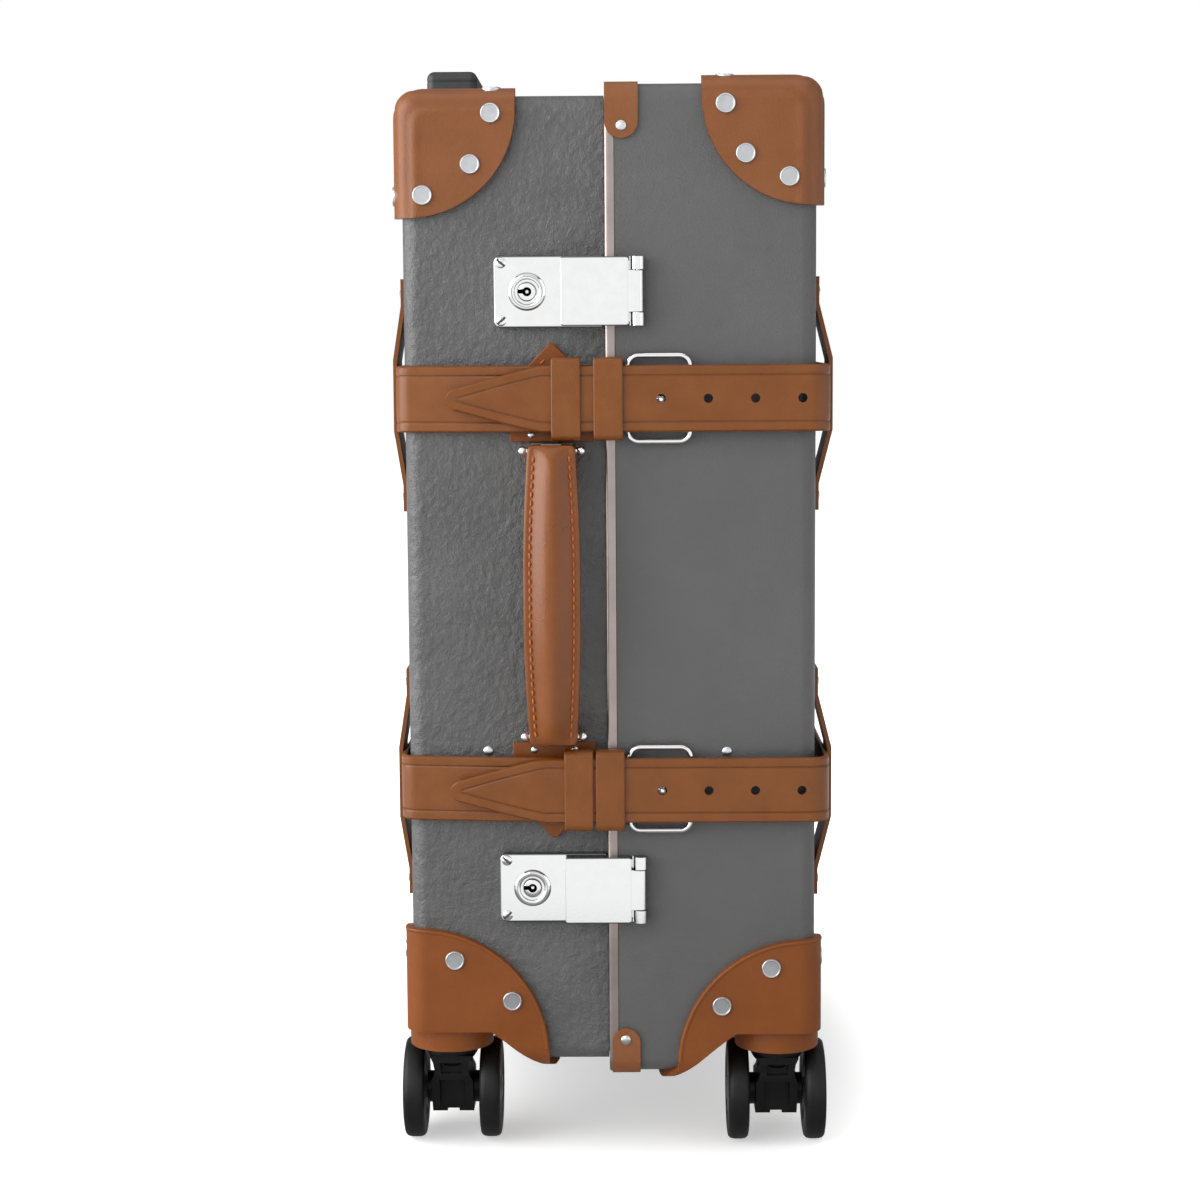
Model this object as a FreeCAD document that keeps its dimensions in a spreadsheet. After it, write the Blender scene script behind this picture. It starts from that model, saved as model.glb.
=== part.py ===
import FreeCAD, Part
import math
import os
import re

import Sketcher

# Carry-on suitcase standing on four twin-wheel casters, in millimetres.
# The seam between the halves is the plane x = 0. The base half with the trolley is at -X, the lid
# at +X. The side with locks and carry handle faces -Y, the hinges are at +Y, and the floor is z = 0.

SIZES = [
    ("base_depth", 98, "depth of the base half"),
    ("lid_depth", 102.5, "depth of the lid half"),
    ("base_width", 378, "width of the base half"),
    ("base_height", 476.4, "height of the base half"),
    ("ground_gap", 47.7, "floor to underside of the base half"),
    ("lid_oversize", 5, "how far the lid stands out past the base on each side"),
    ("wall", 3, "thickness of the fibre shells"),
    ("edge_radius", 8, "outside radius of the shell edges"),
    ("seam_gap", 0.3, "gap between base rim and lid rim"),
    ("lip_reach", 8, "how far the lip frame enters the lid"),
    ("lip_depth", 25, "how far the lip frame goes into the base"),
    ("lip_thickness", 2.5, "thickness of the lip frame"),
    ("rim_width", 5, "width of the metal rim strip"),
    ("rim_flange", 0.8, "thickness of the inner flange of the rim strip"),
    ("lining", 1, "thickness of the linings"),
    ("false_floor", 71, "seam to the back of the base lining"),
    ("seat_gap", 0.1, "gap under leather that lies on a shell"),
    ("cap_leather", 3.4, "thickness of caps and housings"),
    ("cap_reach", 52.9, "radius of a corner cap"),
    ("cap_inset", 5.5, "centre of a corner cap from the lock or hinge face"),
    ("cap_inset_x", 3.5, "centre of a corner cap from the back or front face"),
    ("cap_drop", 6.2, "centre of a corner cap below the top"),
    ("housing_reach", 64.4, "radius of a wheel housing"),
    ("housing_inset", 4, "centre of a wheel housing from the shell faces"),
    ("rivet_radius", 4.9, "radius of a rivet head"),
    ("rivet_rise", 1.3, "height of a rivet head"),
    ("shank_radius", 1.8, "radius of a rivet shank"),
    ("tail_radius", 2.0, "radius of a set rivet tail"),
    ("tail_height", 0.35, "height of a set rivet tail"),
    ("tail_slack", 0.25, "tail of a corner rivet behind the shell wall"),
    ("small_rivet", 2.6, "radius of a small rivet head"),
    ("small_shank", 1.1, "radius of a small rivet shank"),
    ("caster_inset_x", 18, "swivel axis from the back or front face"),
    ("caster_inset_y", 20.5, "swivel axis from the near or far face"),
    ("caster_trail", 10, "axle behind the swivel axis"),
    ("wheel_radius", 25.5, "radius of a caster wheel"),
    ("wheel_width", 11.2, "width of a caster wheel"),
    ("wheel_spread", 19.3, "wheel centre from the fork centre"),
    ("axle_radius", 3, "radius of a caster axle"),
    ("axle_fit", 0.06, "clearance of turning shafts"),
    ("fork_half", 10.5, "half width of a caster fork"),
    ("fork_disc", 12.9, "radius of the fork's swivel disc"),
    ("fork_top", 52.2, "top of the fork's swivel disc"),
    ("fork_neck", 48, "underside of the fork's swivel disc"),
    ("fork_foot", 15, "lowest part of a caster fork"),
    ("stem_radius", 4, "radius of the swivel stem"),
    ("boss_radius", 21, "radius of the boss over a caster"),
    ("boss_low", 52.5, "underside of the boss over a caster"),
    ("well_top", 63.5, "roof of the wheel well"),
    ("well_top_radius", 32, "wheel well radius at its roof"),
    ("well_low", 36, "height where the low well radius is measured"),
    ("well_low_radius", 59, "wheel well radius at that height"),
    ("liner", 2.6, "thickness of the wheel well roof"),
    ("liner_spread", 4, "level thickness of the wheel well wall"),
    ("hardware_drop", 2.2, "middle of the carry handle below the middle of the base"),
    ("strap_spread", 96.3, "strap middle above and below the handle middle"),
    ("strap_width", 31, "width of the straps"),
    ("strap_leather", 2.5, "thickness of the straps"),
    ("strap_lift", 7, "base strap above the near face of the base"),
    ("strap_back", 1.5, "base strap behind the back face"),
    ("strap_front", 4, "lid strap before the front face"),
    ("strap_far", 0.6, "straps beyond the far face of the lid"),
    ("strap_level", 45, "how far from the seam the base strap stays level"),
    ("strap_slope_end", 84, "where the base strap has come down to the base"),
    ("strap_down", 2.3, "base strap above the base at the end of its slope"),
    ("strap_bend", 10, "inside radius of the strap at the case corners"),
    ("strap_split", 8, "seam to the end of the strap bend at the hinges"),
    ("tongue_lift", 11.1, "strap tongue above the near face of the base"),
    ("tongue_tip", 77, "seam to the tip of the strap tongue"),
    ("tongue_shoulder", 30, "seam to the start of the tongue's taper"),
    ("tongue_join", 45, "seam to where the tongue leaves the lid strap"),
    ("tongue_nose", 5, "half width of the blunt tip"),
    ("hole_first", 27, "seam to the first strap hole"),
    ("hole_pitch", 22.7, "distance between strap holes"),
    ("hole_radius", 2.25, "radius of a strap hole"),
    ("keeper_leather", 1.4, "thickness of the keepers"),
    ("keeper_half", 20, "half height of the keepers"),
    ("keeper_width", 14, "width of the keepers"),
    ("keeper_end", 8.5, "seam to the lid side of a fixed keeper"),
    ("keeper_slack", 0.3, "gap between keeper and strap"),
    ("upper_keeper_gap", 6.4, "space between the two upper keepers"),
    ("lower_keeper_gap", 1.4, "space between the two lower keepers"),
    ("buckle_start", 9.8, "seam to the outside of the buckle bar"),
    ("buckle_length", 32.4, "length of a buckle along the strap"),
    ("buckle_half", 22, "half height of a buckle"),
    ("wire_radius", 1.3, "half thickness of the buckle wire"),
    ("buckle_corner", 6, "corner radius of a buckle"),
    ("wrap_leather", 1.2, "strap thickness round the buckle bar"),
    ("loop_leather", 2, "thickness of the strap loops"),
    ("loop_half", 57, "half length of a strap loop"),
    ("loop_width", 28, "width of a strap loop"),
    ("loop_inset", 14, "strap loop from the edge of its face"),
    ("loop_seat", 14, "flat riveted end of a strap loop"),
    ("lock_spread", 146.5, "lock middle above and below the handle middle"),
    ("lock_reach", 53.3, "seam to the outer end of a lock case"),
    ("lock_start", 1, "seam to the inner end of a lock case"),
    ("lock_half", 17.25, "half height of a lock case"),
    ("lock_rise", 4.5, "thickness of a lock case"),
    ("ring_radius", 9.2, "radius of the ring round the key plug"),
    ("ring_rise", 1.6, "height of that ring above the lock case"),
    ("plug_radius", 4.5, "radius of the key plug"),
    ("plug_centre", 37.4, "seam to the key plug"),
    ("cam_offset", 3.5, "cam pin from the plug axis"),
    ("cam_radius", 0.9, "radius of the cam pin"),
    ("bolt_tip", 15, "seam to the tip of the drawn lock bolt"),
    ("bolt_half", 2.2, "half height of the bolt nose"),
    ("slot_start", 16, "seam to the closed end of the staple slot"),
    ("slot_half", 4.7, "half height of the staple slot"),
    ("screw_radius", 2.5, "radius of a lock screw head"),
    ("screw_inset", 3.4, "lock screw from the corner of its case"),
    ("hasp_reach", 21, "seam to the free end of a hasp"),
    ("hasp_half", 16.5, "half height of a hasp"),
    ("hasp_top", 11.5, "outer face of a hasp above the base"),
    ("hasp_low", 5.3, "underside of the hasp walls above the base"),
    ("hasp_plate", 1.5, "thickness of the hasp plate and walls"),
    ("hasp_end", 11.8, "seam to the hinge end of the hasp plate"),
    ("hasp_axis", 16, "seam to the hasp hinge axis"),
    ("hasp_axis_rise", 8.6, "hasp hinge axis above the base"),
    ("hasp_knuckle", 3.4, "radius of the hasp knuckles"),
    ("hasp_pin", 1.2, "radius of the hasp hinge pin"),
    ("hasp_middle", 10, "half height of the middle knuckle"),
    ("staple_start", 13.5, "seam to the outer side of the staple"),
    ("staple_end", 11.5, "seam to the inner side of the staple"),
    ("staple_half", 4.2, "half height of the staple"),
    ("handle_offset", 26, "seam to the middle of the carry handle"),
    ("handle_half", 74, "half length of the carry handle"),
    ("handle_width", 25, "width of the carry handle"),
    ("handle_seat", 4.1, "underside of the handle ends above the base"),
    ("handle_end_top", 23, "outer side of the handle ends above the base"),
    ("handle_inside", 16, "inner side of the grip above the base"),
    ("handle_outside", 30, "outer side of the grip above the base"),
    ("handle_lift", 8, "how far the carry handle draws out"),
    ("pin_spread", 70, "handle pin above and below the handle middle"),
    ("pin_radius", 2, "radius of a handle pin"),
    ("pin_ball", 2.4, "radius of the balls on a handle pin"),
    ("pin_half", 15, "handle middle to the centre of a ball"),
    ("pin_rise", 9, "handle pin above the base"),
    ("post_half", 4.8, "half width of a handle post"),
    ("post_thick", 3.6, "half thickness of a handle post"),
    ("post_top", 20.2, "top of a handle post above the base"),
    ("patch_leather", 2.5, "thickness of a handle patch"),
    ("patch_half", 20.5, "half width of a handle patch"),
    ("patch_start", 74, "handle middle to the straight end of a patch"),
    ("patch_shoulder", 101.5, "handle middle to where a patch tapers"),
    ("patch_tip", 121.5, "handle middle to the tip of a patch"),
    ("hinge_spread", 141.5, "hinge middle above and below the handle middle"),
    ("hinge_half", 20, "half height of a hinge"),
    ("hinge_leaf", 26, "seam to the end of a hinge leaf"),
    ("hinge_plate", 1.5, "thickness of a hinge leaf"),
    ("hinge_rise", 3, "hinge axis beyond the far face of the lid"),
    ("hinge_knuckle", 2.8, "radius of a hinge knuckle"),
    ("hinge_pin", 1.5, "radius of a hinge pin"),
    ("tab_width", 16.5, "seam to the edge of a rim tab"),
    ("tab_length", 26.3, "length of a rim tab on each face"),
    ("tab_rivet", 6, "rivet of a rim tab from its end"),
    ("tab_leather", 1.5, "thickness of a rim tab"),
    ("stud_offset", 58.8, "seam to a dome stud"),
    ("stud_drop", 78.5, "dome stud below the handle middle"),
    ("trolley_inset", 17.5, "trolley tubes from the back face"),
    ("trolley_spread", 55, "trolley tube from the middle of the case"),
    ("tube_wide", 18, "outer trolley tube along the case width"),
    ("tube_deep", 14, "outer trolley tube along the case depth"),
    ("tube_wall", 1.2, "thickness of the trolley tubes"),
    ("tube_gap", 0.3, "clearance between the trolley tubes"),
    ("bezel_half", 77, "half length of the trolley bezel"),
    ("bezel_wide", 20, "width of the trolley bezel"),
    ("bezel_rise", 2.2, "height of the trolley bezel"),
    ("grip_half", 75, "half length of the trolley grip"),
    ("grip_wide", 26.5, "width of the trolley grip"),
    ("grip_height", 20.6, "height of the trolley grip"),
    ("grip_socket", 10, "depth of the tube sockets in the grip"),
    ("grip_round", 4, "edge radius of the trolley grip"),
    ("button_half", 17, "half length of the trolley button"),
    ("button_wide", 12, "width of the trolley button"),
    ("button_height", 8.7, "height of the trolley button"),
    ("button_sink", 0.3, "trolley button below the top of the grip"),
    ("button_travel", 3, "travel of the trolley button"),
]

V = FreeCAD.Vector
doc = FreeCAD.newDocument("carry_on_suitcase")
sheet = doc.addObject("Spreadsheet::Sheet", "Sizes")
for row, (alias, value, note) in enumerate(SIZES, 1):
    sheet.set(f"A{row}", note)
    sheet.set(f"B{row}", str(value))
    sheet.setAlias(f"B{row}", alias)
doc.recompute()

NAMES = {alias for alias, value, note in SIZES}
nodes = {}


def mm(alias):
    """Number in the sheet under this name."""
    return float(sheet.get(alias))


def formula(text):
    """Expression with the sheet put before each of its names."""
    return re.sub(r"[a-z_]+", lambda m: f"Sizes.{m[0]}" if m[0] in NAMES else m[0], str(text))


def node(label, solid):
    """Keep a finished sub-part under its name."""
    solid.Label = label
    nodes[label] = solid
    return solid


def place(solid, x, y, z):
    """Bind the position of an object to the sheet."""
    for letter, text in zip("xyz", (x, y, z)):
        solid.setExpression(f"Placement.Base.{letter}", formula(text))


def box(name, x, y, z):
    """Box between two limits on each axis."""
    solid = doc.addObject("Part::Box", name)
    for side, (low, high) in zip(("Length", "Width", "Height"), (x, y, z)):
        solid.setExpression(side, formula(f"({high}) - ({low})"))
    place(solid, x[0], y[0], z[0])
    solid.recompute()
    return solid


TURNS = {
    "x": FreeCAD.Rotation(V(0, 1, 0), 90),
    "y": FreeCAD.Rotation(V(1, 0, 0), -90),
    "z": FreeCAD.Rotation(),
}


def cylinder(name, axis, radius, centre, span):
    """Cylinder along an axis; centre holds its other two coordinates."""
    solid = doc.addObject("Part::Cylinder", name)
    solid.Placement = FreeCAD.Placement(V(), TURNS[axis])
    solid.setExpression("Radius", formula(radius))
    solid.setExpression("Height", formula(f"({span[1]}) - ({span[0]})"))
    spots = dict(zip("xyz".replace(axis, ""), centre))
    spots[axis] = span[0]
    place(solid, spots["x"], spots["y"], spots["z"])
    solid.recompute()
    return solid


def cone(name, low_radius, high_radius, centre, span):
    """Upright cone between two heights."""
    solid = doc.addObject("Part::Cone", name)
    solid.setExpression("Radius1", formula(low_radius))
    solid.setExpression("Radius2", formula(high_radius))
    solid.setExpression("Height", formula(f"({span[1]}) - ({span[0]})"))
    place(solid, centre[0], centre[1], span[0])
    solid.recompute()
    return solid


def sphere(name, radius, x, y, z):
    """Ball about a point."""
    solid = doc.addObject("Part::Sphere", name)
    solid.setExpression("Radius", formula(radius))
    place(solid, x, y, z)
    solid.recompute()
    return solid


def rounded(solid, radius, edges):
    """Round the numbered edges of a solid."""
    fillet = doc.addObject("Part::Fillet", solid.Name + "_rounded")
    fillet.Base = solid
    fillet.Edges = [(number, radius, radius) for number in edges]
    fillet.recompute()
    return fillet


def fuse(name, *solids):
    """One solid out of several."""
    joined = doc.addObject("Part::MultiFuse", name)
    joined.Shapes = list(solids)
    joined.recompute()
    return joined


def common(name, *solids):
    """What several solids share."""
    shared = doc.addObject("Part::MultiCommon", name)
    shared.Shapes = list(solids)
    shared.recompute()
    return shared


def cut(name, solid, *tools):
    """A solid less its tools."""
    less = doc.addObject("Part::Cut", name)
    less.Base = solid
    less.Tool = tools[0] if len(tools) == 1 else fuse(name + "_tools", *tools)
    less.recompute()
    return less


def group(label, solids):
    """Several separate solids under one name."""
    compound = doc.addObject("Part::Compound", label + "_group")
    compound.Links = list(solids)
    compound.recompute()
    return node(label, compound)


def shaped(name, shape):
    """Object for a shape that has no primitive of its own."""
    solid = doc.addObject("Part::Feature", name)
    solid.Shape = shape
    return solid


def lines(points):
    """Closed run of straight edges."""
    ends = [V(x, y, 0) for x, y in points]
    return [Part.LineSegment(a, b) for a, b in zip(ends, ends[1:] + ends[:1])]


def padded(name, plane, edges, length, symmetric=False, backward=False):
    """Body with one sketch and its pad."""
    body = doc.addObject("PartDesign::Body", name)
    sketch = body.newObject("Sketcher::SketchObject", name + "_sketch")
    support = next(f for f in body.Origin.OriginFeatures if f.Role == plane)
    sketch.AttachmentSupport = (support, [""])
    sketch.MapMode = "FlatFace"
    for number, edge in enumerate(edges):
        sketch.addGeometry(edge, False)
        sketch.addConstraint(Sketcher.Constraint("Block", number))
    pad = body.newObject("PartDesign::Pad", name + "_pad")
    pad.Profile = sketch
    pad.SideType = "Symmetric" if symmetric else "One side"
    pad.Reversed = backward
    pad.setExpression("Length", formula(length))
    sketch.Visibility = False
    doc.recompute([sketch, pad, body])
    return body


def turned(name, plane, points, axis):
    """Body with one sketch turned about an axis of that sketch."""
    body = doc.addObject("PartDesign::Body", name)
    sketch = body.newObject("Sketcher::SketchObject", name + "_sketch")
    support = next(f for f in body.Origin.OriginFeatures if f.Role == plane)
    sketch.AttachmentSupport = (support, [""])
    sketch.MapMode = "FlatFace"
    for number, edge in enumerate(lines(points)):
        sketch.addGeometry(edge, False)
        sketch.addConstraint(Sketcher.Constraint("Block", number))
    spin = body.newObject("PartDesign::Revolution", name + "_turn")
    spin.Profile = sketch
    spin.ReferenceAxis = (sketch, [axis])
    spin.Angle = 360
    sketch.Visibility = False
    doc.recompute([sketch, spin, body])
    return body


# The two halves of the case: which way each faces and where its faces are.
HALVES = {
    "base": {
        "side": -1,
        "face": "base_depth",
        "half": "base_width / 2",
        "low": "ground_gap",
        "high": "ground_gap + base_height",
    },
    "lid": {
        "side": 1,
        "face": "lid_depth",
        "half": "base_width / 2 + lid_oversize",
        "low": "ground_gap - lid_oversize",
        "high": "ground_gap + base_height + lid_oversize",
    },
}
CLOSED_EDGES = {-1: (1, 2, 3, 4, 9, 10, 11, 12), 1: (5, 6, 7, 8, 9, 10, 11, 12)}
ENDS = {"near": -1, "far": 1}
LEVELS = {"upper": 1, "lower": -1}

half_width = {"base": mm("base_width") / 2, "lid": mm("base_width") / 2 + mm("lid_oversize")}
face_at = {"base": mm("base_depth"), "lid": mm("lid_depth")}
floor_of = {"base": mm("ground_gap"), "lid": mm("ground_gap") - mm("lid_oversize")}
top_of = {
    "base": mm("ground_gap") + mm("base_height"),
    "lid": mm("ground_gap") + mm("base_height") + mm("lid_oversize"),
}
near_face = half_width["base"]
middle = mm("ground_gap") + mm("base_height") / 2 - mm("hardware_drop")
MIDDLE = "ground_gap + base_height / 2 - hardware_drop"


def sized(key, name, grow, x, edges):
    """Block of one half grown by a margin, with its long edges rounded to match."""
    half = HALVES[key]
    y = (f"-({half['half']}) - ({grow})", f"{half['half']} + ({grow})")
    z = (f"{half['low']} - ({grow})", f"{half['high']} + ({grow})")
    block = box(name, x, y, z)
    margin = (block.Height.Value - top_of[key] + floor_of[key]) / 2
    return rounded(block, mm("edge_radius") + margin, edges)


def tray(key, name, grow, rim):
    """Whole half grown by a margin, square at the seam."""
    half = HALVES[key]
    outside = f"{half['side']} * ({half['face']} + ({grow}))"
    x = (outside, rim) if half["side"] < 0 else (rim, outside)
    return sized(key, name, grow, x, CLOSED_EDGES[half["side"]])


def sleeve(key, name, grow, x):
    """Stretch of one half along the depth, square at both ends."""
    return sized(key, name, grow, x, (9, 10, 11, 12))


def out(rise):
    """Y position at a height above the near face of the base."""
    return f"-(base_width / 2 + ({rise}))"


def caster_centre(key, end):
    """Swivel axis of one caster."""
    half = HALVES[key]
    x = f"{half['side']} * ({half['face']} - caster_inset_x)"
    y = f"{ENDS[end]} * ({half['half']} - caster_inset_y)"
    return x, y


# Rivets: each site is a point on the outer face, the way the head faces and the grip of the shank.
def rivet_shape(head, rise, shank, grip, tail):
    """Domed head, shank and set tail of one rivet, pointing up."""
    profile = [
        (0, -grip - tail[1]), (tail[0], -grip - tail[1]), (tail[0], -grip), (shank, -grip),
        (shank, 0), (head, 0), (head, 0.45 * rise), (0.8 * head, 0.92 * rise), (0, rise),
    ]
    wire = Part.makePolygon([V(r, 0, z) for r, z in profile + profile[:1]])
    return Part.Face(wire).revolve(V(), V(0, 0, 1), 360)


def rivets(sites):
    """Rivets at their sites."""
    pieces = []
    for point, facing, grip, small in sites:
        if small:
            piece = rivet_shape(mm("small_rivet"), 1.0, mm("small_shank"), grip, (1.8, mm("tail_height")))
        else:
            tail = (mm("tail_radius"), mm("tail_height"))
            piece = rivet_shape(mm("rivet_radius"), mm("rivet_rise"), mm("shank_radius"), grip, tail)
        piece.Placement = FreeCAD.Placement(point, FreeCAD.Rotation(V(0, 0, 1), facing))
        pieces.append(piece)
    return Part.makeCompound(pieces)


def rivet_holes(sites):
    """Holes for the shanks."""
    holes = []
    for point, facing, grip, small in sites:
        radius = (mm("small_shank") if small else mm("shank_radius")) + 0.1
        holes.append(Part.makeCylinder(radius, grip + 0.2, point - facing * (grip + 0.1), facing))
    return Part.makeCompound(holes)


CAP_PATTERN = {
    "base": [(43.7, 8.8), (33.7, 32.9), (10.6, 47.5)],
    "lid": [(44.2, 10.4), (34.6, 33.9), (13.7, 45)],
}
HOUSING_PATTERN = {"base": [(21.5, 52.7), (49.9, 31.9)], "lid": [(22, 54.4), (46.4, 35.3)]}
skin = mm("seat_gap") + mm("cap_leather")


def cap_sites(key):
    """Rivets of the two upper caps of one half, on three faces each."""
    side = HALVES[key]["side"]
    grip = skin + mm("wall") + mm("tail_slack")
    sites = []
    for end in ENDS.values():
        for a, b in CAP_PATTERN[key]:
            on_end = V(side * (face_at[key] - a), end * (half_width[key] + skin), top_of[key] - b)
            on_face = V(side * (face_at[key] + skin), end * (half_width[key] - a), top_of[key] - b)
            on_top = V(side * (face_at[key] - a), end * (half_width[key] - b), top_of[key] + skin)
            sites.append((on_end, V(0, end, 0), grip, False))
            sites.append((on_face, V(side, 0, 0), grip, False))
            sites.append((on_top, V(0, 0, 1), grip, False))
    return sites


def housing_sites(key):
    """Rivets of the two wheel housings of one half, on two faces each."""
    side = HALVES[key]["side"]
    grip = skin + mm("wall")
    sites = []
    for end in ENDS.values():
        for a, b in HOUSING_PATTERN[key]:
            on_end = V(side * (face_at[key] - a), end * (half_width[key] + skin), floor_of[key] + b)
            on_face = V(side * (face_at[key] + skin), end * (half_width[key] - a), floor_of[key] + b)
            sites.append((on_end, V(0, end, 0), grip, False))
            sites.append((on_face, V(side, 0, 0), grip, False))
    return sites


def loop_sites(key):
    """Small rivets through both ends of the strap loops of one half."""
    side = HALVES[key]["side"]
    seat = mm("seat_gap") + mm("loop_leather")
    sites = []
    for end in ENDS.values():
        y = end * (half_width[key] - mm("loop_inset") - mm("loop_width") / 2)
        for level in LEVELS.values():
            for tip in (-1, 1):
                reach = mm("loop_half") - mm("loop_seat") / 2
                z = middle + level * mm("strap_spread") + tip * reach
                for across in (-1, 1):
                    point = V(side * (face_at[key] + seat), y + across * 7, z)
                    sites.append((point, V(side, 0, 0), seat + mm("wall"), True))
    return sites


def hinge_sites(key):
    """Small rivets through the hinge leaves of one half."""
    side = HALVES[key]["side"]
    inside = mm("wall") + (mm("lip_thickness") if key == "base" else 0)
    sites = []
    for level in (-1, 0, 1):
        for up in (-1, 1):
            x = side * (mm("hinge_leaf") - 8)
            z = middle + level * mm("hinge_spread") + up * (mm("hinge_half") - 7)
            point = V(x, half_width[key] + mm("hinge_plate"), z)
            sites.append((point, V(0, 1, 0), mm("hinge_plate") + inside, True))
    return sites


def stud_sites(key):
    """The dome stud on the near face of one half."""
    side = HALVES[key]["side"]
    z = middle - mm("stud_drop")
    point = V(side * mm("stud_offset"), -half_width[key], z)
    return [(point, V(0, -1, 0), mm("wall"), True)]


def tab_sites():
    """Small rivets of the four rim tabs, one on each face."""
    thick = mm("seat_gap") + mm("tab_leather")
    radius = (mm("tab_width") - mm("seam_gap")) / 2
    x = mm("tab_width") - radius
    down = mm("tab_length") - mm("tab_rivet")
    grip = thick + mm("wall") + mm("rim_flange") + 0.1
    sites = []
    for end in ENDS.values():
        for z, up in ((top_of["lid"], 1), (floor_of["lid"], -1)):
            on_end = V(x, end * (half_width["lid"] + thick), z - up * down)
            on_top = V(x, end * (half_width["lid"] - down), z + up * thick)
            sites.append((on_end, V(0, end, 0), grip, True))
            sites.append((on_top, V(0, 0, up), grip, True))
    return sites


sites_of = {
    "base": cap_sites("base") + housing_sites("base") + loop_sites("base"),
    "lid": cap_sites("lid") + housing_sites("lid") + loop_sites("lid"),
}
sites_of["base"] += hinge_sites("base") + stud_sites("base")
sites_of["lid"] += hinge_sites("lid") + stud_sites("lid") + tab_sites()
holes_of = {}
for key in HALVES:
    node(f"{key}_rivets", shaped(f"{key}_rivet_set", rivets(sites_of[key])))
    holes_of[key] = shaped(f"{key}_rivet_holes", rivet_holes(sites_of[key]))


# Wheel wells: a cone round each swivel axis, its liner and the opening that the liner needs.
SLOPE = "(well_low_radius - well_top_radius) / (well_top - well_low)"


def well(key, end, name, spread, roof):
    """Cone of a wheel well grown sideways and upward."""
    high = f"well_top_radius + ({spread}) - ({roof}) * {SLOPE}"
    low = f"well_low_radius + ({spread})"
    span = ("well_low", f"well_top + ({roof})")
    return cone(f"{key}_{end}_{name}", low, high, caster_centre(key, end), span)


openings_of = {key: [] for key in HALVES}
lining_cuts = {key: [] for key in HALVES}
for key in HALVES:
    for end in ENDS:
        openings_of[key].append(well(key, end, "opening", "liner_spread + 0.3", "liner + 0.15"))
        lining_cuts[key].append(well(key, end, "lining_cut", "liner_spread + 1", "liner + 0.7"))

# Lock screws: their places on the near face of the base.
lock_heights = {
    level: f"{MIDDLE} + {sign} * lock_spread" for level, sign in LEVELS.items()
}
lock_z = {level: middle + sign * mm("lock_spread") for level, sign in LEVELS.items()}
screw_sites = []
for level in LEVELS:
    for up in (-1, 1):
        x = -mm("lock_reach") + mm("screw_inset")
        z = lock_z[level] + up * (mm("lock_half") - mm("screw_inset"))
        screw_sites.append(V(x, -near_face - mm("lock_rise"), z))
screw_grip = mm("lock_rise") + mm("wall")


def screw_shape():
    """Domed screw head with its shank, pointing up."""
    head = mm("screw_radius")
    profile = [(0, -screw_grip), (1.2, -screw_grip), (1.2, 0), (head, 0), (head, 0.4), (1.6, 1.2), (0, 1.4)]
    wire = Part.makePolygon([V(r, 0, z) for r, z in profile + profile[:1]])
    slot = Part.makeBox(0.7, 2 * head, 1, V(-0.35, -head, 0.9))
    return Part.Face(wire).revolve(V(), V(0, 0, 1), 360).cut(slot)


screws = []
screw_tools = []
for point in screw_sites:
    piece = screw_shape()
    piece.Placement = FreeCAD.Placement(point, FreeCAD.Rotation(V(0, 0, 1), V(0, -1, 0)))
    screws.append(piece)
    screw_tools.append(
        Part.makeCylinder(1.3, screw_grip + 1, point + V(0, screw_grip + 0.5, 0), V(0, -1, 0))
    )
node("lock_screws", shaped("lock_screw_set", Part.makeCompound(screws)))
screw_holes = shaped("lock_screw_holes", Part.makeCompound(screw_tools))

# Shells of vulcanised fibre, moulded as trays.
trolley_x = "-(base_depth - trolley_inset)"
collar_holes = []
for end, sign in ENDS.items():
    x = (f"{trolley_x} - tube_deep / 2 - 0.2", f"{trolley_x} + tube_deep / 2 + 0.2")
    y = (f"{sign} * trolley_spread - tube_wide / 2 - 0.2", f"{sign} * trolley_spread + tube_wide / 2 + 0.2")
    z = ("ground_gap + base_height - wall - 1", "ground_gap + base_height + 1")
    collar_holes.append(box(f"{end}_collar_hole", x, y, z))

base_block = tray("base", "base_block", "0", "0")
base_hollow = tray("base", "base_hollow", "-wall", "1")
base_open = cut("base_open", base_block, base_hollow)
base_welled = cut("base_welled", base_open, *openings_of["base"], *collar_holes)
base_drilled = cut("base_drilled", base_welled, holes_of["base"])
node("base_shell", cut("base_screwed", base_drilled, screw_holes))

lid_block = tray("lid", "lid_block", "0", "rim_width")
lid_hollow = tray("lid", "lid_hollow", "-wall", "rim_width - 1")
lid_open = cut("lid_open", lid_block, lid_hollow)
lid_welled = cut("lid_welled", lid_open, *openings_of["lid"])
node("lid_shell", cut("lid_drilled", lid_welled, holes_of["lid"]))

# Lip frame inside the base rim, which the lid closes over.
lip_block = sleeve("base", "lip_block", "-wall - 0.05", ("-lip_depth", "lip_reach"))
lip_bore = sleeve("base", "lip_bore", "-wall - lip_thickness", ("-lip_depth - 1", "lip_reach + 1"))
lip_ring = cut("lip_ring", lip_block, lip_bore)
node("base_lip_frame", cut("lip_drilled", lip_ring, holes_of["base"]))

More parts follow.
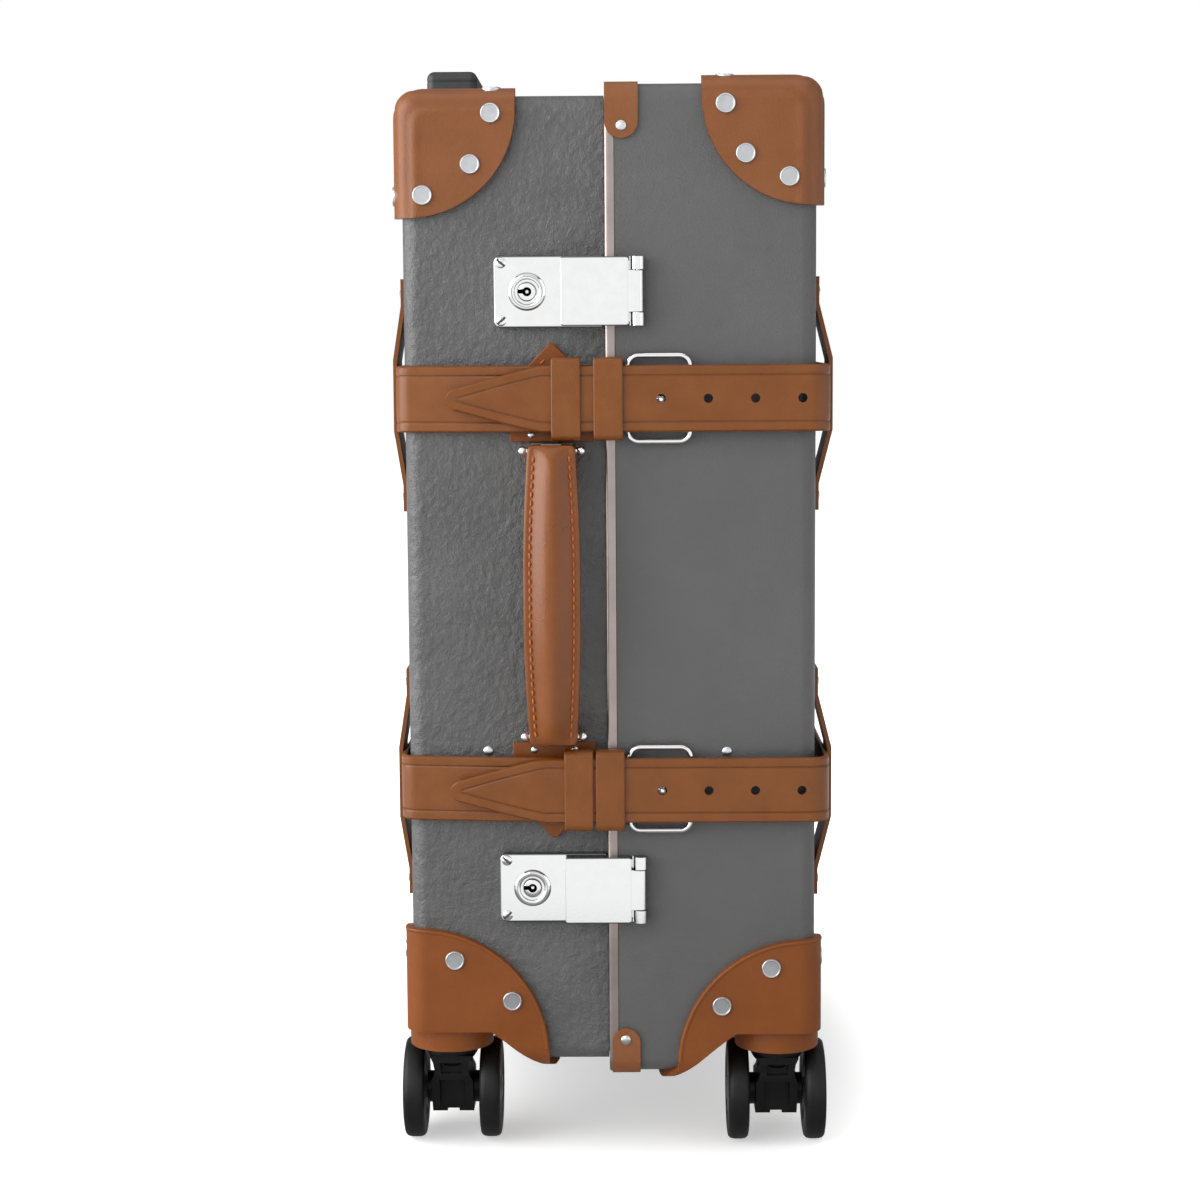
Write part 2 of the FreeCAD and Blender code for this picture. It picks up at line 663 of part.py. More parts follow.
# Metal strip round the lid rim: an outer band and a thin flange inside the shell.
rim_block = sleeve("lid", "rim_block", "0", ("seam_gap", "rim_width"))
rim_bore = sleeve("lid", "rim_bore", "-wall", ("seam_gap - 1", "rim_width + 1"))
flange_block = sleeve("lid", "flange_block", "-wall - 0.05", ("seam_gap", "2 * rim_width"))
flange_bore = sleeve("lid", "flange_bore", "-wall - rim_flange", ("seam_gap - 1", "2 * rim_width + 1"))
rim_band = cut("rim_band", rim_block, rim_bore)
rim_bridge_block = sleeve("lid", "rim_bridge_block", "-wall + 0.5", ("seam_gap", "rim_width - 1"))
rim_bridge = cut("rim_bridge", rim_bridge_block, flange_bore)
rim_inner = cut("rim_inner", flange_block, flange_bore)
rim_whole = fuse("rim_whole", rim_band, rim_bridge, rim_inner)
node("lid_rim", cut("rim_drilled", rim_whole, holes_of["lid"]))

# Linings: a tray in the base with a false floor before the trolley tubes, and a tray in the lid.
LINING_IN = "wall + lip_thickness + 0.7"
lining_y = (f"-(base_width / 2 - ({LINING_IN}))", f"base_width / 2 - ({LINING_IN})")
lining_z = (f"ground_gap + {LINING_IN}", f"ground_gap + base_height - ({LINING_IN})")
inner_y = (f"{lining_y[0]} + lining", f"{lining_y[1]} - lining")
inner_z = (f"{lining_z[0]} + lining", f"{lining_z[1]} - lining")
lining_block = box("base_lining_block", ("-false_floor", "-0.5"), lining_y, lining_z)
lining_hollow = box("base_lining_hollow", ("-false_floor + lining", "1"), inner_y, inner_z)
lining_block = rounded(lining_block, 3, (9, 10, 11, 12))
lining_hollow = rounded(lining_hollow, 2, (9, 10, 11, 12))
lining_open = cut("base_lining_open", lining_block, lining_hollow)
node("base_lining", cut("base_lining_cut", lining_open, *lining_cuts["base"]))

lid_lining_block = tray("lid", "lid_lining_block", "-wall - 0.7", "2 * rim_width + 0.3")
lid_lining_hollow = tray("lid", "lid_lining_hollow", "-wall - 0.7 - lining", "2 * rim_width - 1")
lid_lining_open = cut("lid_lining_open", lid_lining_block, lid_lining_hollow)
node("lid_lining", cut("lid_lining_cut", lid_lining_open, *lining_cuts["lid"]))

# Corner caps and wheel housings: leather-covered skins over the corners of both halves.
for key, half in HALVES.items():
    rim = "-1" if half["side"] < 0 else "rim_width + 1"
    skin_block = tray(key, f"{key}_skin_block", "seat_gap + cap_leather", rim)
    skin_core = tray(key, f"{key}_skin_core", "seat_gap", f"{rim} - {half['side']}")
    skin_shell = cut(f"{key}_skin", skin_block, skin_core)
    caps = []
    housings = []
    for end, sign in ENDS.items():
        ball_x = f"{half['side']} * ({half['face']} - cap_inset_x)"
        ball_y = f"{sign} * ({half['half']} - cap_inset)"
        cap_ball = sphere(
            f"{key}_{end}_cap_ball", "cap_reach", ball_x, ball_y, f"{half['high']} - cap_drop"
        )
        cap_skin = common(f"{key}_{end}_cap_skin", skin_shell, cap_ball)
        caps.append(cut(f"{key}_{end}_cap", cap_skin, holes_of[key]))

        ball_x = f"{half['side']} * ({half['face']} - housing_inset)"
        ball_y = f"{sign} * ({half['half']} - housing_inset)"
        ball_z = f"{half['low']} + housing_inset"
        reach = sphere(f"{key}_{end}_housing_ball", "housing_reach", ball_x, ball_y, ball_z)
        corner = common(f"{key}_{end}_housing_skin", skin_shell, reach)
        liner_cone = well(key, end, "liner_cone", "liner_spread", "liner")
        liner = common(f"{key}_{end}_liner", liner_cone, skin_block)
        void = well(key, end, "void", "0", "0")
        wall_part = cut(f"{key}_{end}_housing_wall", fuse(f"{key}_{end}_housing_sum", corner, liner), void)
        centre = caster_centre(key, end)
        boss = cylinder(
            f"{key}_{end}_boss", "z", "boss_radius", centre, ("boss_low", "well_top + liner / 2")
        )
        bore_radius = "stem_radius + axle_fit"
        bore = cylinder(
            f"{key}_{end}_bore", "z", bore_radius, centre, ("boss_low - 1", "well_top + liner + 1")
        )
        whole = fuse(f"{key}_{end}_housing_whole", wall_part, boss)
        housings.append(cut(f"{key}_{end}_housing", whole, bore, holes_of[key]))
    group(f"{key}_corner_caps", caps)
    group(f"{key}_wheel_housings", housings)

# Leather tabs over the corners of the lid rim.
tab_outer = sleeve("lid", "tab_outer", "seat_gap + tab_leather", ("seam_gap", "tab_width"))
tab_inner = sleeve("lid", "tab_inner", "seat_gap", ("seam_gap - 1", "tab_width + 1"))
tab_ring = cut("tab_ring", tab_outer, tab_inner)
TAB_ROUND = "(tab_width - seam_gap) / 2"
tab_x = ("seam_gap", "tab_width")
lid_half = HALVES["lid"]
tabs = []
for end, sign in ENDS.items():
    for level, up in LEVELS.items():
        edge_z = lid_half["high"] if up > 0 else lid_half["low"]
        edge_y = f"{sign} * ({lid_half['half']})"
        round_z = f"{edge_z} - {up} * (tab_length - {TAB_ROUND})"
        round_y = f"{edge_y} - {sign} * (tab_length - {TAB_ROUND})"
        past_z = f"{edge_z} + {up} * 5"
        past_y = f"{edge_y} + {sign} * 5"
        span_z = (round_z, past_z) if up > 0 else (past_z, round_z)
        span_y = (round_y, past_y) if sign > 0 else (past_y, round_y)
        all_y = (f"{edge_y} - 40", f"{edge_y} + 40")
        all_z = (f"{edge_z} - 40", f"{edge_z} + 40")
        name = f"{end}_{level}_tab"
        tab_mid = f"tab_width - {TAB_ROUND}"
        side_part = box(f"{name}_side", tab_x, all_y, span_z)
        side_end = cylinder(f"{name}_side_end", "y", TAB_ROUND, (tab_mid, round_z), all_y)
        top_part = box(f"{name}_top", tab_x, span_y, all_z)
        top_end = cylinder(f"{name}_top_end", "z", TAB_ROUND, (tab_mid, round_y), all_z)
        side_form = fuse(f"{name}_side_form", side_part, side_end)
        top_form = fuse(f"{name}_top_form", top_part, top_end)
        tab_form = common(f"{name}_form", tab_ring, side_form, top_form)
        tabs.append(cut(name, tab_form, holes_of["lid"]))
group("rim_tabs", tabs)

# Trolley: two telescopic tube pairs, their foot, bezel, grip and release button.
TUBES = {"outer": 0, "middle": 1, "inner": 2}
tube_limits = {
    "outer": ("ground_gap + wall + 3", "ground_gap + base_height - wall - 4"),
    "middle": ("ground_gap + wall + 3.5", "ground_gap + base_height + bezel_rise - 0.2"),
    "inner": ("ground_gap + wall + 4", "ground_gap + base_height + bezel_rise + grip_socket"),
}


def tube_section(stage, sign, margin):
    """Limits of a tube in x and y, with a margin outside it."""
    step = f"{TUBES[stage]} * (tube_wall + tube_gap) - ({margin})"
    x = (f"{trolley_x} - tube_deep / 2 + {step}", f"{trolley_x} + tube_deep / 2 - ({step})")
    y_mid = f"{sign} * trolley_spread"
    y = (f"{y_mid} - tube_wide / 2 + {step}", f"{y_mid} + tube_wide / 2 - ({step})")
    return x, y


for stage, limits in tube_limits.items():
    pair = []
    for end, sign in ENDS.items():
        x, y = tube_section(stage, sign, "0")
        inside_x, inside_y = tube_section(stage, sign, "-tube_wall")
        block = box(f"{stage}_{end}_tube_block", x, y, limits)
        bore = box(f"{stage}_{end}_tube_bore", inside_x, inside_y, (f"{limits[0]} - 1", f"{limits[1]} + 1"))
        pair.append(cut(f"{stage}_{end}_tube", block, bore))
    group(f"trolley_{stage}_tubes", pair)

foot_x = ("-(base_depth - edge_radius - 0.2)", "-false_floor - 0.5")
foot_y = ("-trolley_spread - tube_wide", "trolley_spread + tube_wide")
node(
    "trolley_foot_block",
    box("foot_plate", foot_x, foot_y, ("ground_gap + wall", "ground_gap + wall + 3")),
)

bezel_z = ("ground_gap + base_height", "ground_gap + base_height + bezel_rise")
bezel_x = (f"{trolley_x} - bezel_wide / 2", f"{trolley_x} + bezel_wide / 2")
bezel_plate = box("bezel_plate", bezel_x, ("-bezel_half", "bezel_half"), bezel_z)
bezel_plate = rounded(bezel_plate, 5, (1, 3, 5, 7))
collars = []
collar_bores = []
for end, sign in ENDS.items():
    x, y = tube_section("outer", sign, "0")
    collars.append(box(f"{end}_collar", x, y, ("ground_gap + base_height - wall - 4", bezel_z[1])))
    x, y = tube_section("middle", sign, "tube_gap")
    collar_bores.append(
        box(f"{end}_collar_bore", x, y, ("ground_gap + base_height - wall - 9", f"{bezel_z[1]} + 1"))
    )
bezel_whole = fuse("bezel_whole", bezel_plate, *collars)
node("trolley_bezel", cut("bezel_bored", bezel_whole, *collar_bores))

grip_x = (f"{trolley_x} - grip_wide / 2", f"{trolley_x} + grip_wide / 2")
grip_low = f"{bezel_z[1]} + 0.3"
grip_top = f"{grip_low} + grip_height"
grip_block = box("grip_block", grip_x, ("-grip_half", "grip_half"), (grip_low, grip_top))
grip_block = rounded(grip_block, mm("grip_round"), (1, 2, 3, 5, 6, 7, 10, 12))
sockets = []
for end, sign in ENDS.items():
    x, y = tube_section("inner", sign, "0.05")
    sockets.append(
        box(f"{end}_grip_socket", x, y, (f"{grip_low} - 1", f"{bezel_z[1]} + grip_socket + 0.3"))
    )
button_x = (f"{trolley_x} - button_wide / 2", f"{trolley_x} + button_wide / 2")
button_low = f"{grip_top} - button_sink - button_height"
pocket_x = (f"{button_x[0]} - tube_gap", f"{button_x[1]} + tube_gap")
pocket_y = ("-button_half - tube_gap", "button_half + tube_gap")
pocket_z = (f"{button_low} - button_travel - 0.5", f"{grip_top} + 1")
pocket = box("button_pocket", pocket_x, pocket_y, pocket_z)
node("trolley_grip", cut("grip_pocketed", grip_block, pocket, *sockets))
button_z = (button_low, f"{grip_top} - button_sink")
button_block = box("button_block", button_x, ("-button_half", "button_half"), button_z)
node("trolley_button", rounded(button_block, 2, (1, 3, 5, 7)))

# Locks: a case on the base with key plug and bolt, and a hinged hasp on the lid.
lock_cases = []
hasp_leaves = []
for level, height in lock_heights.items():
    name = f"{level}_lock"
    body = box(f"{name}_block", ("-lock_reach", "-lock_start"), (out("lock_rise"), out("0")),
               (f"{height} - lock_half", f"{height} + lock_half"))
    body = rounded(body, 3, (2, 4))
    plug_at = ("-plug_centre", height)
    ring = cylinder(f"{name}_ring", "y", "ring_radius", plug_at, (out("lock_rise + ring_rise"), out("1")))
    bore = cylinder(
        f"{name}_bore",
        "y",
        "plug_radius + axle_fit",
        plug_at,
        (out("lock_rise + ring_rise + 1"), out("2.3")),
    )
    tail_x = ("-plug_centre - 5.2", "-plug_centre + 10.6")
    tail_room = box(
        f"{name}_tail_room", tail_x, (out("2.4"), out("-0.5")), (f"{height} - 2.6", f"{height} + 5.9")
    )
    tunnel_z = (f"{height} - bolt_half - 0.3", f"{height} + bolt_half + 0.3")
    tunnel = box(
        f"{name}_tunnel", ("-plug_centre - 1", "-slot_start + 1"), (out("3.7"), out("-0.5")), tunnel_z
    )
    slot_z = (f"{height} - slot_half", f"{height} + slot_half")
    slot = box(f"{name}_slot", ("-slot_start", "1"), (out("lock_rise + 1"), out("-0.5")), slot_z)
    solid = fuse(f"{name}_solid", body, ring)
    lock_cases.append(cut(f"{name}_case", solid, bore, tail_room, tunnel, slot, screw_holes))

    plug_body = cylinder(
        f"{level}_plug_body",
        "y",
        "plug_radius",
        plug_at,
        (out("lock_rise + ring_rise - 0.2"), out("2.5")),
    )
    pin_x = "-plug_centre - cam_offset * 0.70711"
    pin_z = f"{height} + cam_offset * 0.70711"
    cam = cylinder(f"{level}_plug_cam", "y", "cam_radius", (pin_x, pin_z), (out("3"), out("0.7")))
    key_round = cylinder(
        f"{level}_key_round", "y", "1.3", plug_at, (out("lock_rise + ring_rise + 1"), out("4"))
    )
    key_slot = box(f"{level}_key_slot", ("-plug_centre - 0.5", "-plug_centre + 0.5"),
                   (out("lock_rise + ring_rise + 1"), out("4")), (f"{height} - 3.2", height))
    plug_solid = fuse(f"{level}_plug_solid", plug_body, cam)
    node(f"{level}_key_plug", cut(f"{level}_plug", plug_solid, key_round, key_slot))

    bolt_tail = box(f"{level}_bolt_tail", ("-plug_centre - 4.8", "-plug_centre + 4.8"),
                    (out("2.2"), out("0.5")), (f"{height} - bolt_half", f"{height} + 5.4"))
    bolt_nose = box(f"{level}_bolt_nose", ("-plug_centre", "-bolt_tip"), (out("3.4"), out("1.5")),
                    (f"{height} - bolt_half", f"{height} + bolt_half"))
    yoke = box(f"{level}_bolt_yoke", (f"{pin_x} - cam_radius - 0.35", f"{pin_x} + cam_radius + 0.35"),
               (out("4"), out("0")), (f"{height} + 1.2", f"{height} + 4.7"))
    bolt_solid = fuse(f"{level}_bolt_solid", bolt_tail, bolt_nose)
    away = box(f"{level}_bolt_away", ("-plug_centre - 10", "-plug_centre + 5.4"), (out("4"), out("2.2")),
               (f"{height} - 10", f"{height} + 10"))
    node(f"{level}_lock_bolt", cut(f"{level}_bolt", bolt_solid, yoke, away))

    axis = ("hasp_axis", out("hasp_axis_rise"))
    leaf_y = (out("lid_oversize + 1.2"), out("lid_oversize"))
    plate_z = (f"{height} - hasp_half + hasp_plate + 0.4", f"{height} + hasp_half - hasp_plate - 0.4")
    plate = box(
        f"{level}_leaf_plate", ("rim_width + 0.3", "hasp_axis - hasp_knuckle - 0.4"), leaf_y, plate_z
    )
    lugs = []
    for up in (-1, 1):
        inner_z = f"{height} + {up} * (hasp_middle + 0.3)"
        outer_z = f"{height} + {up} * hasp_half"
        lug_z = (inner_z, outer_z) if up > 0 else (outer_z, inner_z)
        lug_x = ("hasp_axis - hasp_knuckle - 0.5", "hasp_axis + hasp_knuckle / 2")
        side_word = "top" if up > 0 else "bottom"
        lugs.append(
            box(
                f"{level}_{side_word}_lug",
                lug_x,
                (out("hasp_axis_rise - 1"), out("lid_oversize")),
                lug_z,
            )
        )
        lugs.append(cylinder(f"{level}_{side_word}_knuckle", "z", "hasp_knuckle", axis, lug_z))
    pin = cylinder(
        f"{level}_hasp_pin", "z", "hasp_pin", axis, (f"{height} - hasp_half", f"{height} + hasp_half")
    )
    hasp_leaves.append(fuse(f"{level}_hasp_leaf", plate, pin, *lugs))

    hasp_z = (f"{height} - hasp_half", f"{height} + hasp_half")
    hasp_box = box(
        f"{level}_hasp_box", ("-hasp_reach", "hasp_end"), (out("hasp_top"), out("hasp_low")), hasp_z
    )
    hasp_box = rounded(hasp_box, 1.2, (1, 2, 4))
    hollow_z = (f"{hasp_z[0]} + hasp_plate", f"{hasp_z[1]} - hasp_plate")
    hollow_y = (out("hasp_top - hasp_plate"), out("hasp_low - 1"))
    hollow = box(f"{level}_hasp_hollow", ("-hasp_reach + hasp_plate", "hasp_end + 1"), hollow_y, hollow_z)
    middle_z = (f"{height} - hasp_middle", f"{height} + hasp_middle")
    bridge_y = (out("hasp_top"), out("hasp_top - hasp_plate"))
    bridge = box(f"{level}_hasp_bridge", ("hasp_end - 1", "hasp_axis"), bridge_y, middle_z)
    knuckle = cylinder(f"{level}_hasp_knuckle", "z", "hasp_knuckle", axis, middle_z)
    staple = box(
        f"{level}_staple_block",
        ("-staple_start", "-staple_end"),
        (out("hasp_top - 1"), out("0.2")),
        (f"{height} - staple_half", f"{height} + staple_half"),
    )
    eye = box(
        f"{level}_staple_eye",
        ("-staple_start - 1", "-staple_end + 1"),
        (out("hasp_top - hasp_plate - 1"), out("1.2")),
        (f"{height} - staple_half + 1.2", f"{height} + staple_half - 1.2"),
    )
    cover = cut(f"{level}_hasp_cover", hasp_box, hollow)
    staple_ring = cut(f"{level}_staple", staple, eye)
    bore = cylinder(
        f"{level}_hasp_bore",
        "z",
        "hasp_pin + axle_fit",
        axis,
        (f"{middle_z[0]} - 1", f"{middle_z[1]} + 1"),
    )
    hasp_solid = fuse(f"{level}_hasp_solid", cover, staple_ring, bridge, knuckle)
    node(f"{level}_hasp", cut(f"{level}_hasp_bored", hasp_solid, bore))
group("lock_cases", lock_cases)
group("hasp_leaves", hasp_leaves)

# Carry handle: a stitched leather grip on two pins, which draws out along slotted posts.
end_top = mm("handle_end_top")
grip_in = mm("handle_inside")
length = mm("handle_half")
seat = mm("handle_seat")


def at(rise, up):
    """Point in the side view of the handle."""
    return V(-(near_face + rise), middle + up, 0)


side_view = [
    Part.LineSegment(at(seat, length), at(end_top, length)),
    Part.Arc(at(end_top, length), at(mm("handle_outside"), 0), at(end_top, -length)),
    Part.LineSegment(at(end_top, -length), at(seat, -length)),
    Part.LineSegment(at(seat, -length), at(seat, -length + 15)),
    Part.LineSegment(at(seat, -length + 15), at(grip_in - 1.5, -length + 26)),
    Part.Arc(at(grip_in - 1.5, -length + 26), at(grip_in, 0), at(grip_in - 1.5, length - 26)),
    Part.LineSegment(at(grip_in - 1.5, length - 26), at(seat, length - 15)),
    Part.LineSegment(at(seat, length - 15), at(seat, length)),
]
grip_body = padded("handle_body", "YZ_Plane", side_view, "handle_width", symmetric=True)
place(grip_body, "-handle_offset", "0", "0")
grip_body.recompute()
edge_numbers = []
for number, edge in enumerate(grip_body.Shape.Edges, 1):
    if edge.Length > mm("handle_half"):
        edge_numbers.append(number)
handle_form = rounded(grip_body, 4.5, edge_numbers)

brackets = []
patches = []
pins = []
handle_tools = []
for level, sign in LEVELS.items():
    pin_z = f"{MIDDLE} + {sign} * pin_spread"
    pin_at = (out("pin_rise"), pin_z)
    room = box(
        f"{level}_post_room",
        ("-handle_offset - post_half - 0.4", "-handle_offset + post_half + 0.4"),
        (out("post_top + 0.4"), out("0")),
        (f"{pin_z} - post_thick - 0.4", f"{pin_z} + post_thick + 0.4"),
    )
    pin_span = ("-handle_offset - pin_half", "-handle_offset + pin_half")
    handle_tools.append(room)
    handle_tools.append(cylinder(f"{level}_pin_hole", "x", "pin_radius + axle_fit", pin_at, pin_span))
    rod = cylinder(f"{level}_pin_rod", "x", "pin_radius", pin_at, pin_span)
    balls = [sphere(f"{level}_{end}_pin_ball", "pin_ball", f"-handle_offset + {way} * pin_half", *pin_at)
             for end, way in ENDS.items()]
    pins.append(fuse(f"{level}_handle_pin", rod, *balls))

    plate_ends = [f"{pin_z} - {sign} * 12", f"{pin_z} + {sign} * post_thick"][::sign]
    plate = box(f"{level}_bracket_plate", ("-handle_offset - 10", "-handle_offset + 10"),
                (out("1.5"), out("0")), plate_ends)
    post = box(f"{level}_bracket_post", ("-handle_offset - post_half", "-handle_offset + post_half"),
               (out("post_top"), out("0")), (f"{pin_z} - post_thick", f"{pin_z} + post_thick"))
    post_span = ("-handle_offset - post_half - 1", "-handle_offset + post_half + 1")
    slot_half = "pin_radius + 0.1"
    slot_low = cylinder(f"{level}_slot_low", "x", slot_half, pin_at, post_span)
    slot_high = cylinder(
        f"{level}_slot_high", "x", slot_half, (out("pin_rise + handle_lift"), pin_z), post_span
    )
    slot_run = box(f"{level}_slot_run", post_span, (out("pin_rise + handle_lift"), out("pin_rise")),
                   (f"{pin_z} - ({slot_half})", f"{pin_z} + {slot_half}"))
    bracket = fuse(f"{level}_bracket_solid", plate, post)
    brackets.append(cut(f"{level}_bracket", bracket, slot_low, slot_high, slot_run))

    start = middle + sign * mm("patch_start")
    shoulder = middle + sign * mm("patch_shoulder")
    tip = middle + sign * mm("patch_tip")
    wide = mm("patch_half")
    corners = [(-wide, start), (wide, start), (wide, shoulder), (4, tip), (-4, tip), (-wide, shoulder)]
    patch = padded(f"{level}_patch", "XZ_Plane", lines(corners), "patch_leather")
    place(patch, "-handle_offset", "-base_width / 2", "0")
    patch.recompute()
    patches.append(patch)
group("handle_brackets", brackets)
group("handle_patches", patches)
group("handle_pins", pins)
node("carry_handle", cut("handle_bored", handle_form, *handle_tools))


# Straps: a base strap and a lid strap at two levels, with a soft tongue and a bend at the hinges.
def band(path, radii, thick):
    """Edges of a strip that follows a path on its inner side, rounded at the corners."""
    inner = []
    outer = []
    for number, point in enumerate(path):
        here = V(*point, 0)
        before = V(*path[number - 1], 0) if number else None
        after = V(*path[number + 1], 0) if number + 1 < len(path) else None
        way_in = (here - before).normalize() if before else None
        way_out = (after - here).normalize() if after else None
        if not before or not after:
            way = way_out or way_in
            side = V(way.y, -way.x, 0)
            inner.append((here,))
            outer.append((here + side * thick,))
            continue
        radius = radii[number - 1]
        turn = way_in.getAngle(way_out)
        back = radius * math.tan(turn / 2)
        first_side = V(way_in.y, -way_in.x, 0)
        last_side = V(way_out.y, -way_out.x, 0)
        start = here - way_in * back
        finish = here + way_out * back
        clockwise = way_in.cross(way_out).z < 0
        hub = start + first_side * radius * (1 if clockwise else -1)
        mid_way = (start + finish) * 0.5 - hub
        mid_way.normalize()
        offset = -thick if clockwise else thick
        inner.append((start, hub + mid_way * radius, finish))
        outer.append(
            (start + first_side * thick, hub + mid_way * (radius + offset), finish + last_side * thick)
        )
    edges = []
    for run in (inner, outer):
        for number, stop in enumerate(run):
            if len(stop) == 3:
                edges.append(Part.Arc(*stop))
            if number + 1 < len(run):
                edges.append(Part.LineSegment(stop[-1], run[number + 1][0]))
    edges.append(Part.LineSegment(inner[0][0], outer[0][0]))
    edges.append(Part.LineSegment(inner[-1][-1], outer[-1][-1]))
    return edges


leather = mm("strap_leather")
near_y = -(near_face + mm("strap_lift"))
down_y = -(near_face + mm("strap_down"))
far_y = half_width["lid"] + mm("strap_far")
far_down = near_face + mm("strap_down")
back_x = -(face_at["base"] + mm("strap_back"))
level_x = -mm("strap_level")
run = mm("strap_slope_end") - mm("strap_level")
past = (level_x - back_x) / run
near_corner = near_y + (down_y - near_y) * past
far_corner = far_y + (far_down - far_y) * past
bar_x = mm("buckle_start") + mm("wire_radius")
base_path = [
    (-mm("strap_split"), far_y), (level_x, far_y), (back_x, far_corner),
    (back_x, near_corner), (level_x, near_y), (bar_x, near_y),
]
bend = mm("strap_bend")
front_x = face_at["lid"] + mm("strap_front")
tongue_y = -(near_face + mm("tongue_lift"))
lid_path = [
    (mm("tongue_join"), tongue_y),
    (front_x, tongue_y),
    (front_x, far_y),
    (mm("strap_split"), far_y),
]

